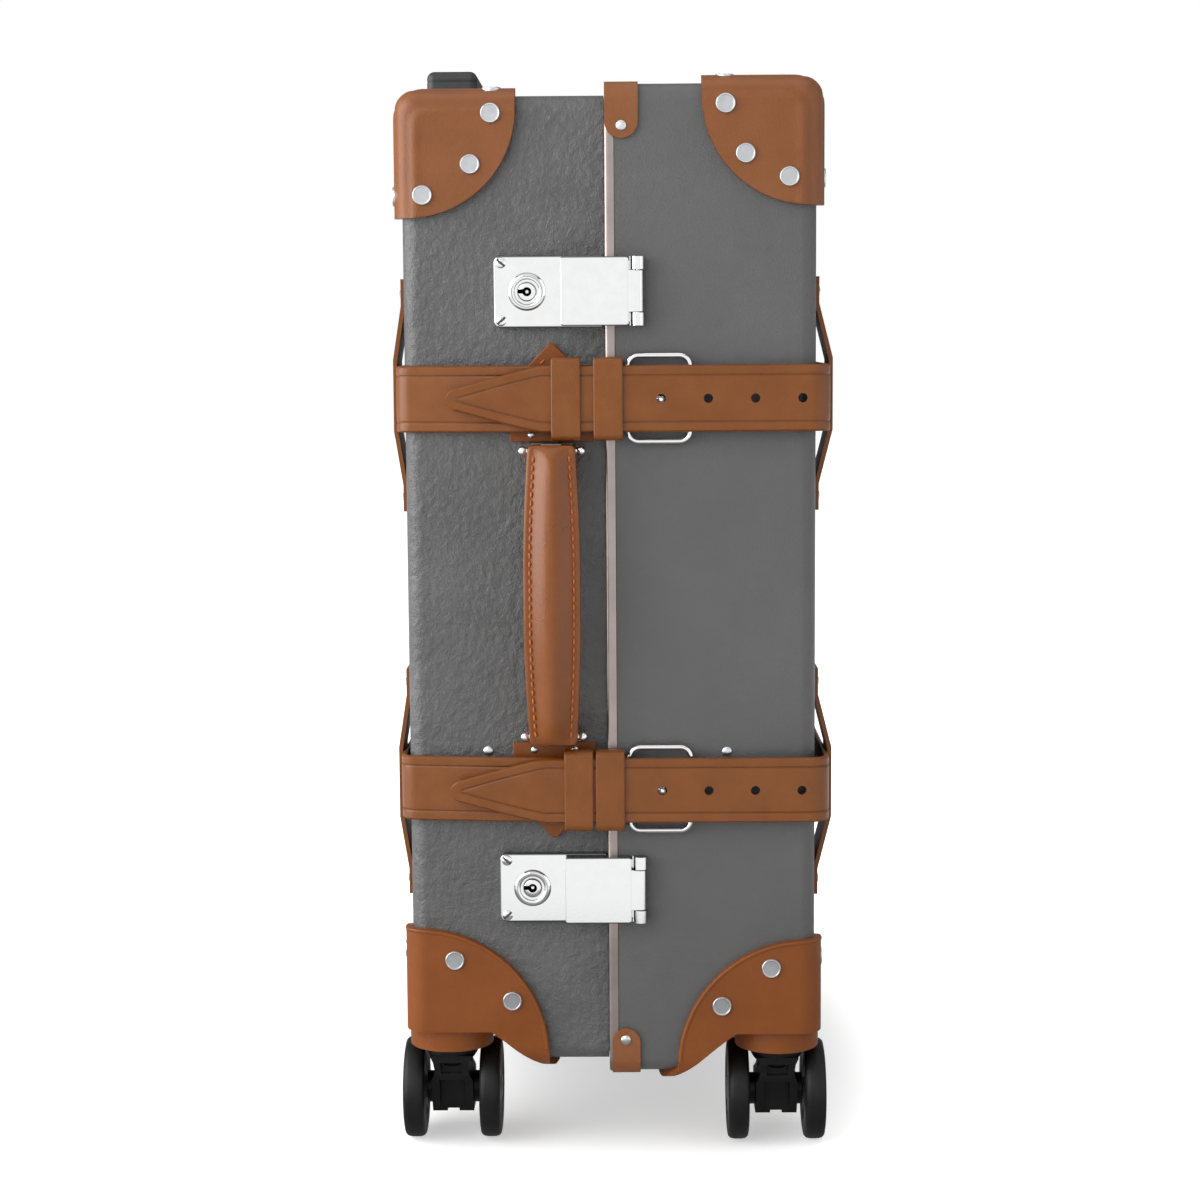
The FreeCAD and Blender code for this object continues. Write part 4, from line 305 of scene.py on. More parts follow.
def corner_skin():
    """Leather over a corner whose three faces point to +X, +Y and +Z, with the corner at 0."""
    mesh = fresh()
    layer = mesh.verts.layers.float["painted_shade_and_burnish"]
    middle = CAP_SKIN - CAP_BLANK / 2
    bmesh.ops.create_cube(mesh, size=CAP_BLANK, matrix=Matrix.Translation((middle, middle, middle)))
    hidden = [face for face in mesh.faces if min(face.normal) < -0.5]
    bmesh.ops.delete(mesh, geom=hidden, context="FACES")
    bmesh.ops.subdivide_edges(mesh, edges=mesh.edges, cuts=CAP_CUTS, use_grid_fill=True)
    for vert in mesh.verts:
        away = sorted(CAP_SKIN - value for value in vert.co)
        core = Vector([min(value, -SHELL_EDGE) for value in vert.co])
        out = (vert.co - core).normalized()
        near = max(0.0, RIDGE_IN + RIDGE_TURN - away[1])
        far = max(0.0, RIDGE_IN + RIDGE_TURN - away[2])
        depth = RIDGE_IN + RIDGE_TURN - math.hypot(near, far) if near and far else away[1]
        rise = math.exp(-((depth - RIDGE_IN) / RIDGE_WIDE) ** 2)
        dip = math.exp(-((depth - VALLEY_IN) / RIDGE_WIDE) ** 2)
        vert.co = core + out * (SHELL_EDGE + CAP_SKIN + RIDGE_HIGH * rise - VALLEY_DEEP * dip)
        # Painted shade in the valley inside the ridge.
        vert[layer] = VALLEY_SHADE * dip
    hub = -CAP_INSET
    for axis in range(3):
        arc = math.sqrt(CAP_REACH ** 2 - (CAP_INSET[axis] + CAP_SKIN) ** 2)
        for step in range(17):
            angle = math.pi / 2 * step / 16
            away = Vector((0, 0, 0))
            away[(axis + 1) % 3] = -math.cos(angle)
            away[(axis + 2) % 3] = -math.sin(angle)
            split(mesh, hub + away * arc, away, -1, CAP_GAP)
    bmesh.ops.remove_doubles(mesh, verts=mesh.verts, dist=2 * CAP_GAP)
    bmesh.ops.recalc_face_normals(mesh, faces=mesh.faces)
    if sum(face.normal.dot(face.calc_center_median() - 3 * hub) for face in mesh.faces) < 0:
        bmesh.ops.reverse_faces(mesh, faces=mesh.faces)
    bmesh.ops.solidify(mesh, geom=mesh.faces[:], thickness=CAP_THICK)
    edges = [edge for edge in mesh.edges
             if edge.is_manifold and edge.calc_face_angle(0) > math.radians(55)]
    # Painted shade on the cut edges of the cap.
    for vert in {vert for edge in edges for vert in edge.verts}:
        vert[layer] = CAP_EDGE_SHADE
    bmesh.ops.bevel(mesh, geom=edges, offset=CAP_EDGE, offset_type="OFFSET", affect="EDGES", segments=3,
                    profile=0.5, material=-1, clamp_overlap=True)
    return mesh


def corner_seat(half, end, up):
    """Places a corner made round the origin on one corner of a half of the case."""
    sizes = CASE[half]
    level = sizes["high"] if up > 0 else sizes["low"]
    corner = Vector((sizes["side"] * sizes["face"], end * sizes["half"], level))
    return Matrix.Translation(corner) @ Matrix.Diagonal((sizes["side"], end, up, 1))


cap_leather = finish("cap_leather", (0.218, 0.072, 0.021), (0.256, 0.088, 0.029), 0.38, specular=0.36,
                     mottle=45, grain=950, depth=0.00008, wave=1.2, wave_scale=260)
for half in CASE:
    caps = fresh()
    for end in (-1, 1):
        cap = corner_skin()
        cap.transform(corner_seat(half, end, 1))
        bmesh.ops.recalc_face_normals(cap, faces=cap.faces)
        added(caps, cap)
    fitted(f"{half}_leather_caps", caps, cap_leather, half, "corner", f"{half}_corner_caps")


# Wheel housings.
# Tan moulded housings cover the lower corners. Each has a raised welt along its arc, and a round
# boss for the caster stem in an open well below.
HOUSING_REACH, HOUSING_INSET = 64.4, 4.0
# Section of the welt (across, rise, painted shade): its flank down to the housing carries painted shade, a
# painted shadow along the arc.
WELT = ((-1.9, -0.4, 0.0), (-1.8, 0.10, 0.1), (-1.4, 0.30, 0.0), (-0.9, 0.40, 0.0), (-0.35, 0.34, 0.0),
        (0.05, 0.05, 0.0), (0.12, -0.6, 0.3), (0.0, -2.4, 0.5), (-1.0, -2.6, 0.0))


def welt_line():
    """Stations along the arc of a housing, over its two upright faces, with the corner at 0."""
    reach = math.sqrt(HOUSING_REACH ** 2 - (CAP_SKIN + HOUSING_INSET) ** 2)
    flat = []
    for step in range(25):
        away = HOUSING_INSET + reach * math.cos(math.radians(3 + 82 * step / 24))
        if away > SHELL_EDGE:
            flat.append((Vector((-away, CAP_SKIN, 0)), Vector((0, 1, 0))))
    bend = []
    for step in range(9):
        angle = math.pi / 2 * (1 - step / 8)
        out = Vector((math.cos(angle), math.sin(angle), 0))
        bend.append((Vector((-SHELL_EDGE, -SHELL_EDGE, 0)) + out * (SHELL_EDGE + CAP_SKIN), out))
    other = [(Vector((point.y, point.x, 0)), SIDEWAYS) for point, out in flat[::-1]]
    points = []
    hub = Vector((-HOUSING_INSET, -HOUSING_INSET, 0))
    for point, out in flat + bend + other:
        level = HOUSING_REACH ** 2 - (point - hub).length_squared
        points.append((Vector((point.x, point.y, -HOUSING_INSET - math.sqrt(max(0.0, level)))), out))
    stations = []
    for number, (point, out) in enumerate(points):
        way = points[min(number + 1, len(points) - 1)][0] - points[max(number - 1, 0)][0]
        across = out.cross(way).normalized()
        if across.dot(point - Vector((-HOUSING_INSET, -HOUSING_INSET, -HOUSING_INSET))) < 0:
            across = -across
        stations.append((point, across, out))
    return stations


housing_skin = finish("housing_skin", (0.204, 0.055, 0.008), (0.242, 0.068, 0.011), 0.36, specular=0.34,
                      mottle=38, grain=1000, depth=0.00006, wave=1.0, wave_scale=220)
for half in CASE:
    housing = softened(taken(f"{half}_wheel_housings"), 0.5, 2, 50)
    for end in (-1, 1):
        welt = fresh()
        looped(welt, welt_line(), [WELT])
        cleaned(welt)
        welt.transform(corner_seat(half, end, -1))
        bmesh.ops.recalc_face_normals(welt, faces=welt.faces)
        added(housing, welt)
    fitted(f"{half}_moulded_housings", housing, housing_skin, half, "corner", f"{half}_wheel_housings")


# Rivets.
# Caps, housings, loops, tabs and hinges are held by turned steel rivets: a flat head with a raised rim.
# The flat of each head carries painted shade, so that its rim reads as a bright highlight, and the flanks
# of the heads carry painted shade. The small ones and the studs are domed.
def lathed(profile, steps, seat):
    """Turns a profile of (radius, height, burnish) round the Z axis of a seat."""
    mesh = fresh()
    layer = mesh.verts.layers.float["painted_shade_and_burnish"]
    points = []
    for radius, height, painted_shade_and_burnish in profile:
        point = mesh.verts.new((radius, 0, height))
        point[layer] = painted_shade_and_burnish
        points.append(point)
    lines = [mesh.edges.new(pair) for pair in zip(points, points[1:])]
    bmesh.ops.spin(mesh, geom=points + lines, cent=(0, 0, 0), axis=(0, 0, 1), dvec=(0, 0, 0),
                   angle=2 * math.pi, steps=steps, use_merge=True, use_duplicate=False)
    cleaned(mesh)
    mesh.transform(seat)
    return mesh


def facing(point, direction):
    """Seat at a point, with Z along a direction."""
    turn = Vector(direction).to_track_quat("Z", "Y").to_matrix().to_4x4()
    return Matrix.Translation(point) @ turn


def islands(mesh):
    """Lists the loose parts of a mesh as lowest and highest corners."""
    left = set(mesh.verts)
    boxes = []
    for seed in mesh.verts:
        if seed not in left:
            continue
        left.discard(seed)
        reached = [seed]
        for vert in reached:
            for edge in vert.link_edges:
                other = edge.other_vert(vert)
                if other in left:
                    left.discard(other)
                    reached.append(other)
        low = Vector([min(vert.co[axis] for vert in reached) for axis in range(3)])
        high = Vector([max(vert.co[axis] for vert in reached) for axis in range(3)])
        boxes.append((low, high))
    return boxes


def dome(radius, rise, steps, seat):
    """Domed head of a small fastener, with its top at the seat and painted shade on its flank."""
    return lathed(((0, 0, 0), (radius * 0.35, -0.06 * rise, 0), (radius * 0.68, -0.26 * rise, 0),
                   (radius * 0.90, -0.6 * rise, 0), (radius, -rise, 0.3), (radius, -rise - 0.8, 0.5),
                   (0, -rise - 0.8, 0)), steps, seat)


rivet_steel = finish("rivet_steel", (0.68, 0.70, 0.72), (0.76, 0.78, 0.80), 0.30, metal=1.0, mottle=400,
                     grain=3000, depth=0.00001, shade_tone=0.74)
LARGE_HEAD, SMALL_RISE, TOP_SUNK = 4.0, 0.95, 0.45
LOW_TAB_TOP, LOW_TAB_REACH, LOW_TAB_DROP = 80, 20, 2.8
for half, sizes in CASE.items():
    solids = taken(f"{half}_rivets")
    heads = fresh()
    for low, high in islands(solids):
        size = high - low
        axis = max(range(3), key=lambda way: min(abs(size[way] - size[(way + 1) % 3]),
                                                 abs(size[way] - size[(way + 2) % 3])))
        centre = (low + high) / 2
        radius = size[(axis + 1) % 3] / 2
        middle = (sizes["low"] + sizes["high"]) / 2 if axis == 2 else 0
        sign = 1 if centre[axis] > middle else -1
        if axis == 0:
            sign = sizes["side"]
        way = Vector((0, 0, 0))
        way[axis] = sign
        top = centre.copy()
        top[axis] = (high[axis] if sign > 0 else low[axis]) - (sign * TOP_SUNK if axis == 2 else 0.0)
        if radius > LARGE_HEAD:
            # Painted shade on the flat of the head, on its flank and under it; the raised rim stays bright.
            profile = ((0, -0.32, 1), (radius * 0.74, -0.32, 1), (radius * 0.79, -0.28, 0.8),
                       (radius * 0.83, 0.0, 0), (radius * 0.90, 0.02, 0), (radius * 0.96, -0.25, 0),
                       (radius, -0.75, 0.4), (radius, -2.0, 1), (0, -2.0, 1))
            added(heads, lathed(profile, 32, facing(top, way)))
        else:
            if half == "lid" and top.z < LOW_TAB_TOP and abs(top.x) < LOW_TAB_REACH:
                top.z -= LOW_TAB_DROP
            added(heads, dome(radius, SMALL_RISE, 20, facing(top, way)))
    solids.free()
    fitted(f"{half}_rivet_heads", heads, rivet_steel, half, "steel", f"{half}_rivets")


# Straps.
# Two straps of bridle leather go round the case, with a creased line inside each edge. The base
# strap ends on the buckle; the lid strap ends in a tapered tongue with four punched holes.
NEAR = CASE["base"]["half"]
handle_low, handle_high = boxed("carry_handle")
MIDDLE = (handle_low.z + handle_high.z) / 2
STRAP_LEVELS = {"upper": MIDDLE + 95.0, "lower": MIDDLE - 96.3}
STRAP_HALF, STRAP_THICK = 16.1, 2.5
OFF_BACK, OFF_FRONT, OFF_HINGES = 1.5, 4.0, 0.6
STRAP_FAR = CASE["lid"]["half"] + OFF_HINGES
# Edge of a strap (inset, share of thickness, painted shade and burnish): the creased line is burnished with
# painted shade in its groove, and the rounded edge carries painted shade.
EDGE_INSETS = ((0.0, 0.45, 0.35), (0.35, 0.80, 0.15), (1.0, 1.0, 0.0), (3.9, 1.0, 0.0),
               (4.4, 0.93, 0.15), (4.9, 0.84, 0.38), (5.4, 0.93, 0.15), (5.9, 1.0, 0.0), (10.5, 1.02, 0.0))
CREASE_START = 4.0
UPRIGHT = Vector((0, 0, 1))
TO_LOCKS = Vector((0, -1, 0))


def outward(x, rise, z):
    """Seat on the lock side, at a rise above the base, with Z pointing away from the case."""
    return facing((x, -NEAR - rise, z), TO_LOCKS)


def strap_section(half, creased=True):
    """Section of a strap (across, rise, painted shade and burnish): creased outside, flat inside, with
    painted shade along the edges of its inside.
    """
    outer = []
    for inset, share, painted_shade_and_burnish in EDGE_INSETS:
        if inset > CREASE_START and not creased:
            share, painted_shade_and_burnish = 1.0, 0.0
        outer.append((max(0.0, half - inset), STRAP_THICK * share, painted_shade_and_burnish))
    ring = [(-side, rise, painted_shade_and_burnish) for side, rise, painted_shade_and_burnish in outer]
    ring.append((0.0, STRAP_THICK * 1.02, 0.0))
    ring += outer[::-1]
    for side, rise in ((1, 0.30), (1, 0.0), (-1, 0.0), (-1, 0.30)):
        ring.append((side * max(0.0, half - (0.35 if rise else 1.0)), rise, 0.3))
    return ring


def route(corners, radii, height, step=3.0):
    """Stations of a strip in plan: straight runs with rounded corners; its outside is on the right."""
    points = []
    for number, corner in enumerate(corners):
        here = Vector((*corner, 0))
        if number in (0, len(corners) - 1):
            points.append(here)
            continue
        before = (Vector((*corners[number - 1], 0)) - here).normalized()
        after = (Vector((*corners[number + 1], 0)) - here).normalized()
        half_turn = before.angle(after) / 2
        radius = radii[number - 1]
        hub = here + (before + after).normalized() * (radius / math.sin(half_turn))
        begin = (here + before * (radius / math.tan(half_turn)) - hub).normalized()
        end = (here + after * (radius / math.tan(half_turn)) - hub).normalized()
        for part in range(9):
            points.append(hub + begin.slerp(end, part / 8) * radius)
    filled = [points[0]]
    for point in points[1:]:
        begin = filled[-1]
        run = point - begin
        count = max(1, int(run.length / step))
        filled += [begin + run * (part / count) for part in range(1, count + 1)]
    stations = []
    for number, point in enumerate(filled):
        way = filled[min(number + 1, len(filled) - 1)] - filled[max(number - 1, 0)]
        way.normalize()
        stations.append((point + UPRIGHT * height, UPRIGHT, Vector((way.y, -way.x, 0))))
    return stations


def drilled(mesh, cutters):
    """Cuts a set of closed shapes out of a mesh."""
    objects = []
    for part in (mesh, cutters):
        data = bpy.data.meshes.new("loose")
        part.to_mesh(data)
        part.free()
        thing = bpy.data.objects.new("loose", data)
        bpy.context.scene.collection.objects.link(thing)
        objects.append(thing)
    body, tool = objects
    cut = body.modifiers.new("cut", "BOOLEAN")
    cut.operation = "DIFFERENCE"
    cut.solver = "EXACT"
    cut.object = tool
    shaped = body.evaluated_get(bpy.context.evaluated_depsgraph_get())
    result = bmesh.new()
    result.from_mesh(shaped.data)
    for thing in objects:
        data = thing.data
        bpy.data.objects.remove(thing)
        bpy.data.meshes.remove(data)
    return result


strap_leather = finish("strap_leather", (0.182, 0.053, 0.007), (0.222, 0.069, 0.011), 0.34, specular=0.42,
                       mottle=60, grain=1500, depth=0.00005, wave=0.8, wave_scale=300, shade_tone=0.42)
BAR_X = 11.1
SLOPE_START, SLOPE_END, BASE_END = -45.0, -84.0, -8.0
HIGH_RISE, LOW_RISE, BASE_TURNS = 7.0, 2.3, (30, 6, 6, 30)
back_x = -(CASE["base"]["face"] + OFF_BACK)
past = (SLOPE_START - back_x) / (SLOPE_START - SLOPE_END)
near_corner = -(NEAR + HIGH_RISE) + (HIGH_RISE - LOW_RISE) * past
far_corner = STRAP_FAR - (STRAP_FAR - NEAR - LOW_RISE) * past
BASE_ROUTE = ((BAR_X, -(NEAR + HIGH_RISE)), (SLOPE_START, -(NEAR + HIGH_RISE)), (back_x, near_corner),
              (back_x, far_corner), (SLOPE_START, STRAP_FAR), (BASE_END, STRAP_FAR))
base_bands = fresh()
for height in STRAP_LEVELS.values():
    band = fresh()
    stations = [(point, across, -out) for point, across, out in route(BASE_ROUTE, BASE_TURNS, height)]
    looped(band, stations, [strap_section(STRAP_HALF)])
    added(base_bands, cleaned(band))
fitted("base_strap_bands", base_bands, strap_leather, "base", "strap", "base_straps")

TONGUE_TIP, TONGUE_SHOULDER, TONGUE_CURVE, NOSE, NOSE_HALF = -77.0, -30.0, 1.12, 6.0, 5.6
TONGUE_RISE, LID_TURNS, LID_END, BEND_END = 11.1, (7, 7), 8.0, -7.7
TONGUE_Y = -(NEAR + TONGUE_RISE)
front_x = CASE["lid"]["face"] + OFF_FRONT
LID_ROUTE = ((TONGUE_TIP + NOSE, TONGUE_Y), (front_x, TONGUE_Y), (front_x, STRAP_FAR), (LID_END, STRAP_FAR))
STUD_X, HOLE_PITCH, HOLE_RADIUS = 27.0, 22.7, 2.25
HOLES = [STUD_X + HOLE_PITCH * number for number in range(4)]
lid_bands = fresh()
for height in STRAP_LEVELS.values():
    band = fresh()
    stations = []
    sections = []
    for step in range(9):
        turn = math.pi / 2 * step / 9
        x = TONGUE_TIP + NOSE * (1 - math.cos(turn))
        stations.append((Vector((x, TONGUE_Y, height)), UPRIGHT, TO_LOCKS))
        sections.append(strap_section(NOSE_HALF * math.sin(turn), False))
    for station in route(LID_ROUTE, LID_TURNS, height, 2.0):
        half_width = STRAP_HALF
        share = (TONGUE_SHOULDER - station[0].x) / (TONGUE_SHOULDER - TONGUE_TIP - NOSE)
        if station[0].y < 0 and share > 0:
            half_width -= (STRAP_HALF - NOSE_HALF) * share ** TONGUE_CURVE
        stations.append(station)
        sections.append(strap_section(half_width))
    looped(band, stations, sections)
    cleaned(band)
    punches = fresh()
    for x in HOLES:
        bmesh.ops.create_cone(punches, cap_ends=True, segments=24, radius1=HOLE_RADIUS, radius2=HOLE_RADIUS,
                              depth=9, matrix=outward(x, TONGUE_RISE + STRAP_THICK / 2, height))
    added(lid_bands, drilled(band, punches))
fitted("lid_strap_bands", lid_bands, strap_leather, "lid", "strap", "lid_straps", "strap_tongues")

# Behind the hinges the strap leather bends as the lid opens.
bends = fresh()
for height in STRAP_LEVELS.values():
    bend = fresh()
    looped(bend, route(((LID_END, STRAP_FAR), (BEND_END, STRAP_FAR)), (), height, 1.0)[::-1],
           [strap_section(STRAP_HALF)])
    added(bends, cleaned(bend))
bend_band = made("strap_bend_bands", bends, strap_leather)
BEND_MIDDLE = 0.001 * (STRAP_FAR + 0.9)
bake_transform(bend_band, "base", "lid", start=(-0.0077, BEND_MIDDLE, 0.001 * MIDDLE),
         end=(0.008, BEND_MIDDLE, 0.001 * MIDDLE))
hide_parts("strap_bends")


# Keepers.
# Plain bands of bridle leather hold each tongue down. One is sewn to the base strap, and the other
# slides along it.
KEEPER_LOW, KEEPER_HIGH, KEEPER_HALF, KEEPER_TURN, KEEPER_THICK = 5.3, 15.3, 20.0, 3.4, 1.4
KEEPER_WIDE, SEWN_LEFT = 14.0, -5.5
LOOSE_LEFT = {"upper": -25.9, "lower": -20.9}


def keeper_ring(left, height):
    """Leather band round strap and tongue, with rounded edges that carry painted shade."""
    mesh = fresh()
    wide = KEEPER_WIDE / 2
    side = ((wide - 0.3, 0.0, 0.2), (wide, 0.4, 0.1), (wide, 1.0, 0.0), (wide - 0.4, 1.35, 0.0),
            (wide - 1.4, 1.42, 0.0))
    section = side + ((0.0, 1.46, 0.0),) + tuple((-across, rise, shade_share) for across, rise, shade_share in side[::-1])
    stations = []
    corners = ((KEEPER_HALF, KEEPER_HIGH, 0), (-KEEPER_HALF, KEEPER_HIGH, 90),
               (-KEEPER_HALF, KEEPER_LOW, 180), (KEEPER_HALF, KEEPER_LOW, 270))
    for z, rise, start in corners:
        inwards = KEEPER_TURN if rise == KEEPER_HIGH else -KEEPER_TURN
        hub = Vector((left + wide, -NEAR - rise + inwards, height + z - math.copysign(KEEPER_TURN, z)))
        for step in range(7):
            angle = math.radians(start + 90 * step / 6)
            out = Vector((0, -math.sin(angle), math.cos(angle)))
            stations.append((hub + out * (KEEPER_TURN - KEEPER_THICK), SIDEWAYS, out))
    stations.append(stations[0])
    looped(mesh, stations, [section])
    return cleaned(mesh)


keeper_leather = finish("keeper_leather", (0.186, 0.055, 0.007), (0.226, 0.071, 0.011), 0.34, specular=0.42,
                        mottle=90, grain=1300, depth=0.00007, wave=1.4, wave_scale=420, shade_tone=0.42)
fixed = fresh()
for height in STRAP_LEVELS.values():
    added(fixed, keeper_ring(SEWN_LEFT, height))
fitted("sewn_keepers", fixed, keeper_leather, "base", "strap", "fixed_keepers")
for level, left in LOOSE_LEFT.items():
    fitted(f"{level}_loose_keeper", keeper_ring(left, STRAP_LEVELS[level]), keeper_leather,
           f"{level}_sliding_keeper", "strap", f"{level}_sliding_keeper")


# Buckles.
# Each buckle is bent from chromed wire. A tongue of the same wire runs from its bar under the
# strap, and its stud sits in a hole of the strap.
WIRE, WIRE_SIDES, FAR_BAR = 1.3, 14, 40.9
STUD_RADIUS, STUD_LONG, STUD_DROP = 1.5, 4.2, 0.5
BUCKLE_HALF, BUCKLE_TURN, BUCKLE_RISE = 20.7, 5.0, 8.25
BUCKLE_Y = -(NEAR + BUCKLE_RISE)


def wire(mesh, stations):
    """Round wire along stations, with painted shade on the side turned to the case."""
    ring = []
    for part in range(WIRE_SIDES):
        angle = 2 * math.pi * part / WIRE_SIDES
        shade_share = min(1.0, max(0.0, 0.55 + math.cos(angle)))
        ring.append((WIRE * math.cos(angle), WIRE * math.sin(angle), shade_share))
    looped(mesh, stations, [ring])


chrome = finish("chrome", (0.86, 0.865, 0.87), (0.92, 0.922, 0.925), 0.09, metal=1.0, mottle=160, grain=900,
                depth=0.000006, wave=2.0, wave_scale=60, shade_tone=0.10)
for level, height in STRAP_LEVELS.items():
    buckle = fresh()
    loop = []
    corners = ((FAR_BAR, BUCKLE_HALF, 0), (BAR_X, BUCKLE_HALF, 90), (BAR_X, -BUCKLE_HALF, 180),
               (FAR_BAR, -BUCKLE_HALF, 270))
    for x, z, start in corners:
        hub = Vector((x - math.copysign(BUCKLE_TURN, x - (BAR_X + FAR_BAR) / 2), BUCKLE_Y,
                      height + z - math.copysign(BUCKLE_TURN, z)))
        for step in range(9):
            angle = math.radians(start + 90 * step / 8)
            out = Vector((math.cos(angle), 0, math.sin(angle)))
            loop.append((hub + out * BUCKLE_TURN, -TO_LOCKS, out))
    loop.append(loop[0])
    wire(buckle, loop)
    wire(buckle, [(Vector((x, BUCKLE_Y, height)), -TO_LOCKS, UPRIGHT) for x in (BAR_X, 19, STUD_X + 1)])
    cleaned(buckle)
    stud_z = height - STUD_DROP
    added(buckle, dome(STUD_RADIUS, 0.7, 20, outward(STUD_X, BUCKLE_RISE + STUD_LONG, stud_z)))
    stem = ((0, 3.6, 0), (STUD_RADIUS, 3.6, 0), (STUD_RADIUS, 0, 0), (0, 0, 0))
    added(buckle, lathed(stem, 20, outward(STUD_X, BUCKLE_RISE, stud_z)))
    fitted(f"{level}_wire_buckle", buckle, chrome, f"{level}_buckle", "chrome", f"{level}_buckle")


# Strap loops and rim tabs.
# Leather loops riveted to the back and the front keep the straps in place. Small leather tabs cover
# the corners of the rim.
for half in CASE:
    loops = softened(taken(f"{half}_strap_loops"), 0.45, 2, 30)
    fitted(f"{half}_loop_leather", loops, strap_leather, half, "strap", f"{half}_strap_loops")
tab_leather = finish("tab_leather", (0.225, 0.078, 0.025), (0.262, 0.098, 0.036), 0.40, specular=0.34,
                     mottle=80, grain=1000, depth=0.00007)
TAB_PAST, LOW_TAB_LIMIT = 0.9, 90
TAB_MIDDLE, LOW_TAB_MIDDLE, LOW_TAB_WIDE, LOW_TAB_LONG = 8.4, 8.7, 0.86, 0.89
lid_low, lid_high = CASE["lid"]["low"], CASE["lid"]["high"]
tabs = taken("rim_tabs")
for vert in tabs.verts:
    vert.co.z = min(max(vert.co.z, lid_low - TAB_PAST), lid_high + TAB_PAST)
    if vert.co.z < LOW_TAB_LIMIT:
        vert.co.x = LOW_TAB_MIDDLE + (vert.co.x - TAB_MIDDLE) * LOW_TAB_WIDE
        vert.co.z = lid_low + (vert.co.z - lid_low) * LOW_TAB_LONG
fitted("tab_leather_covers", softened(tabs, 0.4, 3, 50), tab_leather, "lid", "strap", "rim_tabs")


# Locks.
# Chromed lock cases are screwed to the base, each with a key plug in a turned ring. A boxed hasp,
# hinged on the lid, closes over the case, and the key shoots a steel bolt through its staple.
# The locks carry painted dark reflection on plate outlines, barrel flanks and the key ring, and painted shade
# in the screw slots and round the plug.
OUTLINE, OUTLINE_SHADE, SIDE_SHADE = 0.4, 0.9, 0.1


def block(mesh, seat, sizes):
    """Box of three sizes on a seat."""
    bmesh.ops.create_cube(mesh, size=1, matrix=seat @ Matrix.Diagonal((*sizes, 1)))
    return mesh


def plate(spans, corner, edge, only=0, outlined=True):
    """Plate on the lock side with a rounded outline and a softened front; an outlined plate has painted dark
    reflection on its ends and a little on its other sides.
    """
    (left, right), (back, front), (low, high) = spans
    middle = Vector(((left + right) / 2, -NEAR - (front + back) / 2, (low + high) / 2))
    mesh = block(fresh(), Matrix.Translation(middle), (right - left, front - back, high - low))
    posts = [line for line in mesh.edges if abs(line.verts[0].co.y - line.verts[1].co.y) > 0.01
             and only * (line.verts[0].co.x - middle.x) >= 0]
    bmesh.ops.bevel(mesh, geom=posts, offset=corner, offset_type="OFFSET", affect="EDGES", segments=6,
                    profile=0.5, material=-1)
    rim = [line for line in mesh.edges if all(abs(vert.co.y + NEAR + front) < 0.001 for vert in line.verts)]
    bmesh.ops.bevel(mesh, geom=rim, offset=edge, offset_type="OFFSET", affect="EDGES", segments=3,
                    profile=0.5, material=-1)
    if not outlined:
        return mesh
    face = [part for part in mesh.faces if all(abs(vert.co.y + NEAR + front) < 0.001 for vert in part.verts)]
    bmesh.ops.inset_region(mesh, faces=face, thickness=OUTLINE, depth=0, use_even_offset=True)
    flat = {vert for part in face for vert in part.verts}
    layer = mesh.verts.layers.float["painted_shade_and_burnish"]
    for vert in mesh.verts:
        at_end = min(vert.co.z - low, high - vert.co.z) < edge + OUTLINE + 0.1
        vert[layer] = 0.0 if vert in flat else OUTLINE_SHADE if at_end else SIDE_SHADE
    return mesh


def dark_flanks(mesh, start):
    """Paints dark reflection on the turned-away sides of the barrels that lie beyond a place along x."""
    layer = mesh.verts.layers.float["painted_shade_and_burnish"]
    mesh.normal_update()
    for vert in mesh.verts:
        if vert.co.x > start:
            vert[layer] = min(0.9, max(0.0, 1.35 * (0.8 + vert.normal.y)))
    return mesh


def rod(start, end, radius, sides=24):
    """Straight round bar between two points, with chamfered ends."""
    long = (Vector(end) - Vector(start)).length
    chamfer = 0.25
    profile = ((0, 0, 0), (radius - chamfer, 0, 0), (radius, chamfer, 0), (radius, long - chamfer, 0),
               (radius - chamfer, long, 0), (0, long, 0))
    return lathed(profile, sides, facing(start, Vector(end) - Vector(start)))


LOCK_LEVELS = {"upper": MIDDLE + 146.5, "lower": MIDDLE - 146.5}
LOCK_LEFT, LOCK_RIGHT, LOCK_HALF, LOCK_RISE = -53.3, -1.0, 17.25, 4.5
PLUG_X, PLUG_RADIUS, PLUG_FIT = -37.4, 4.5, 0.06
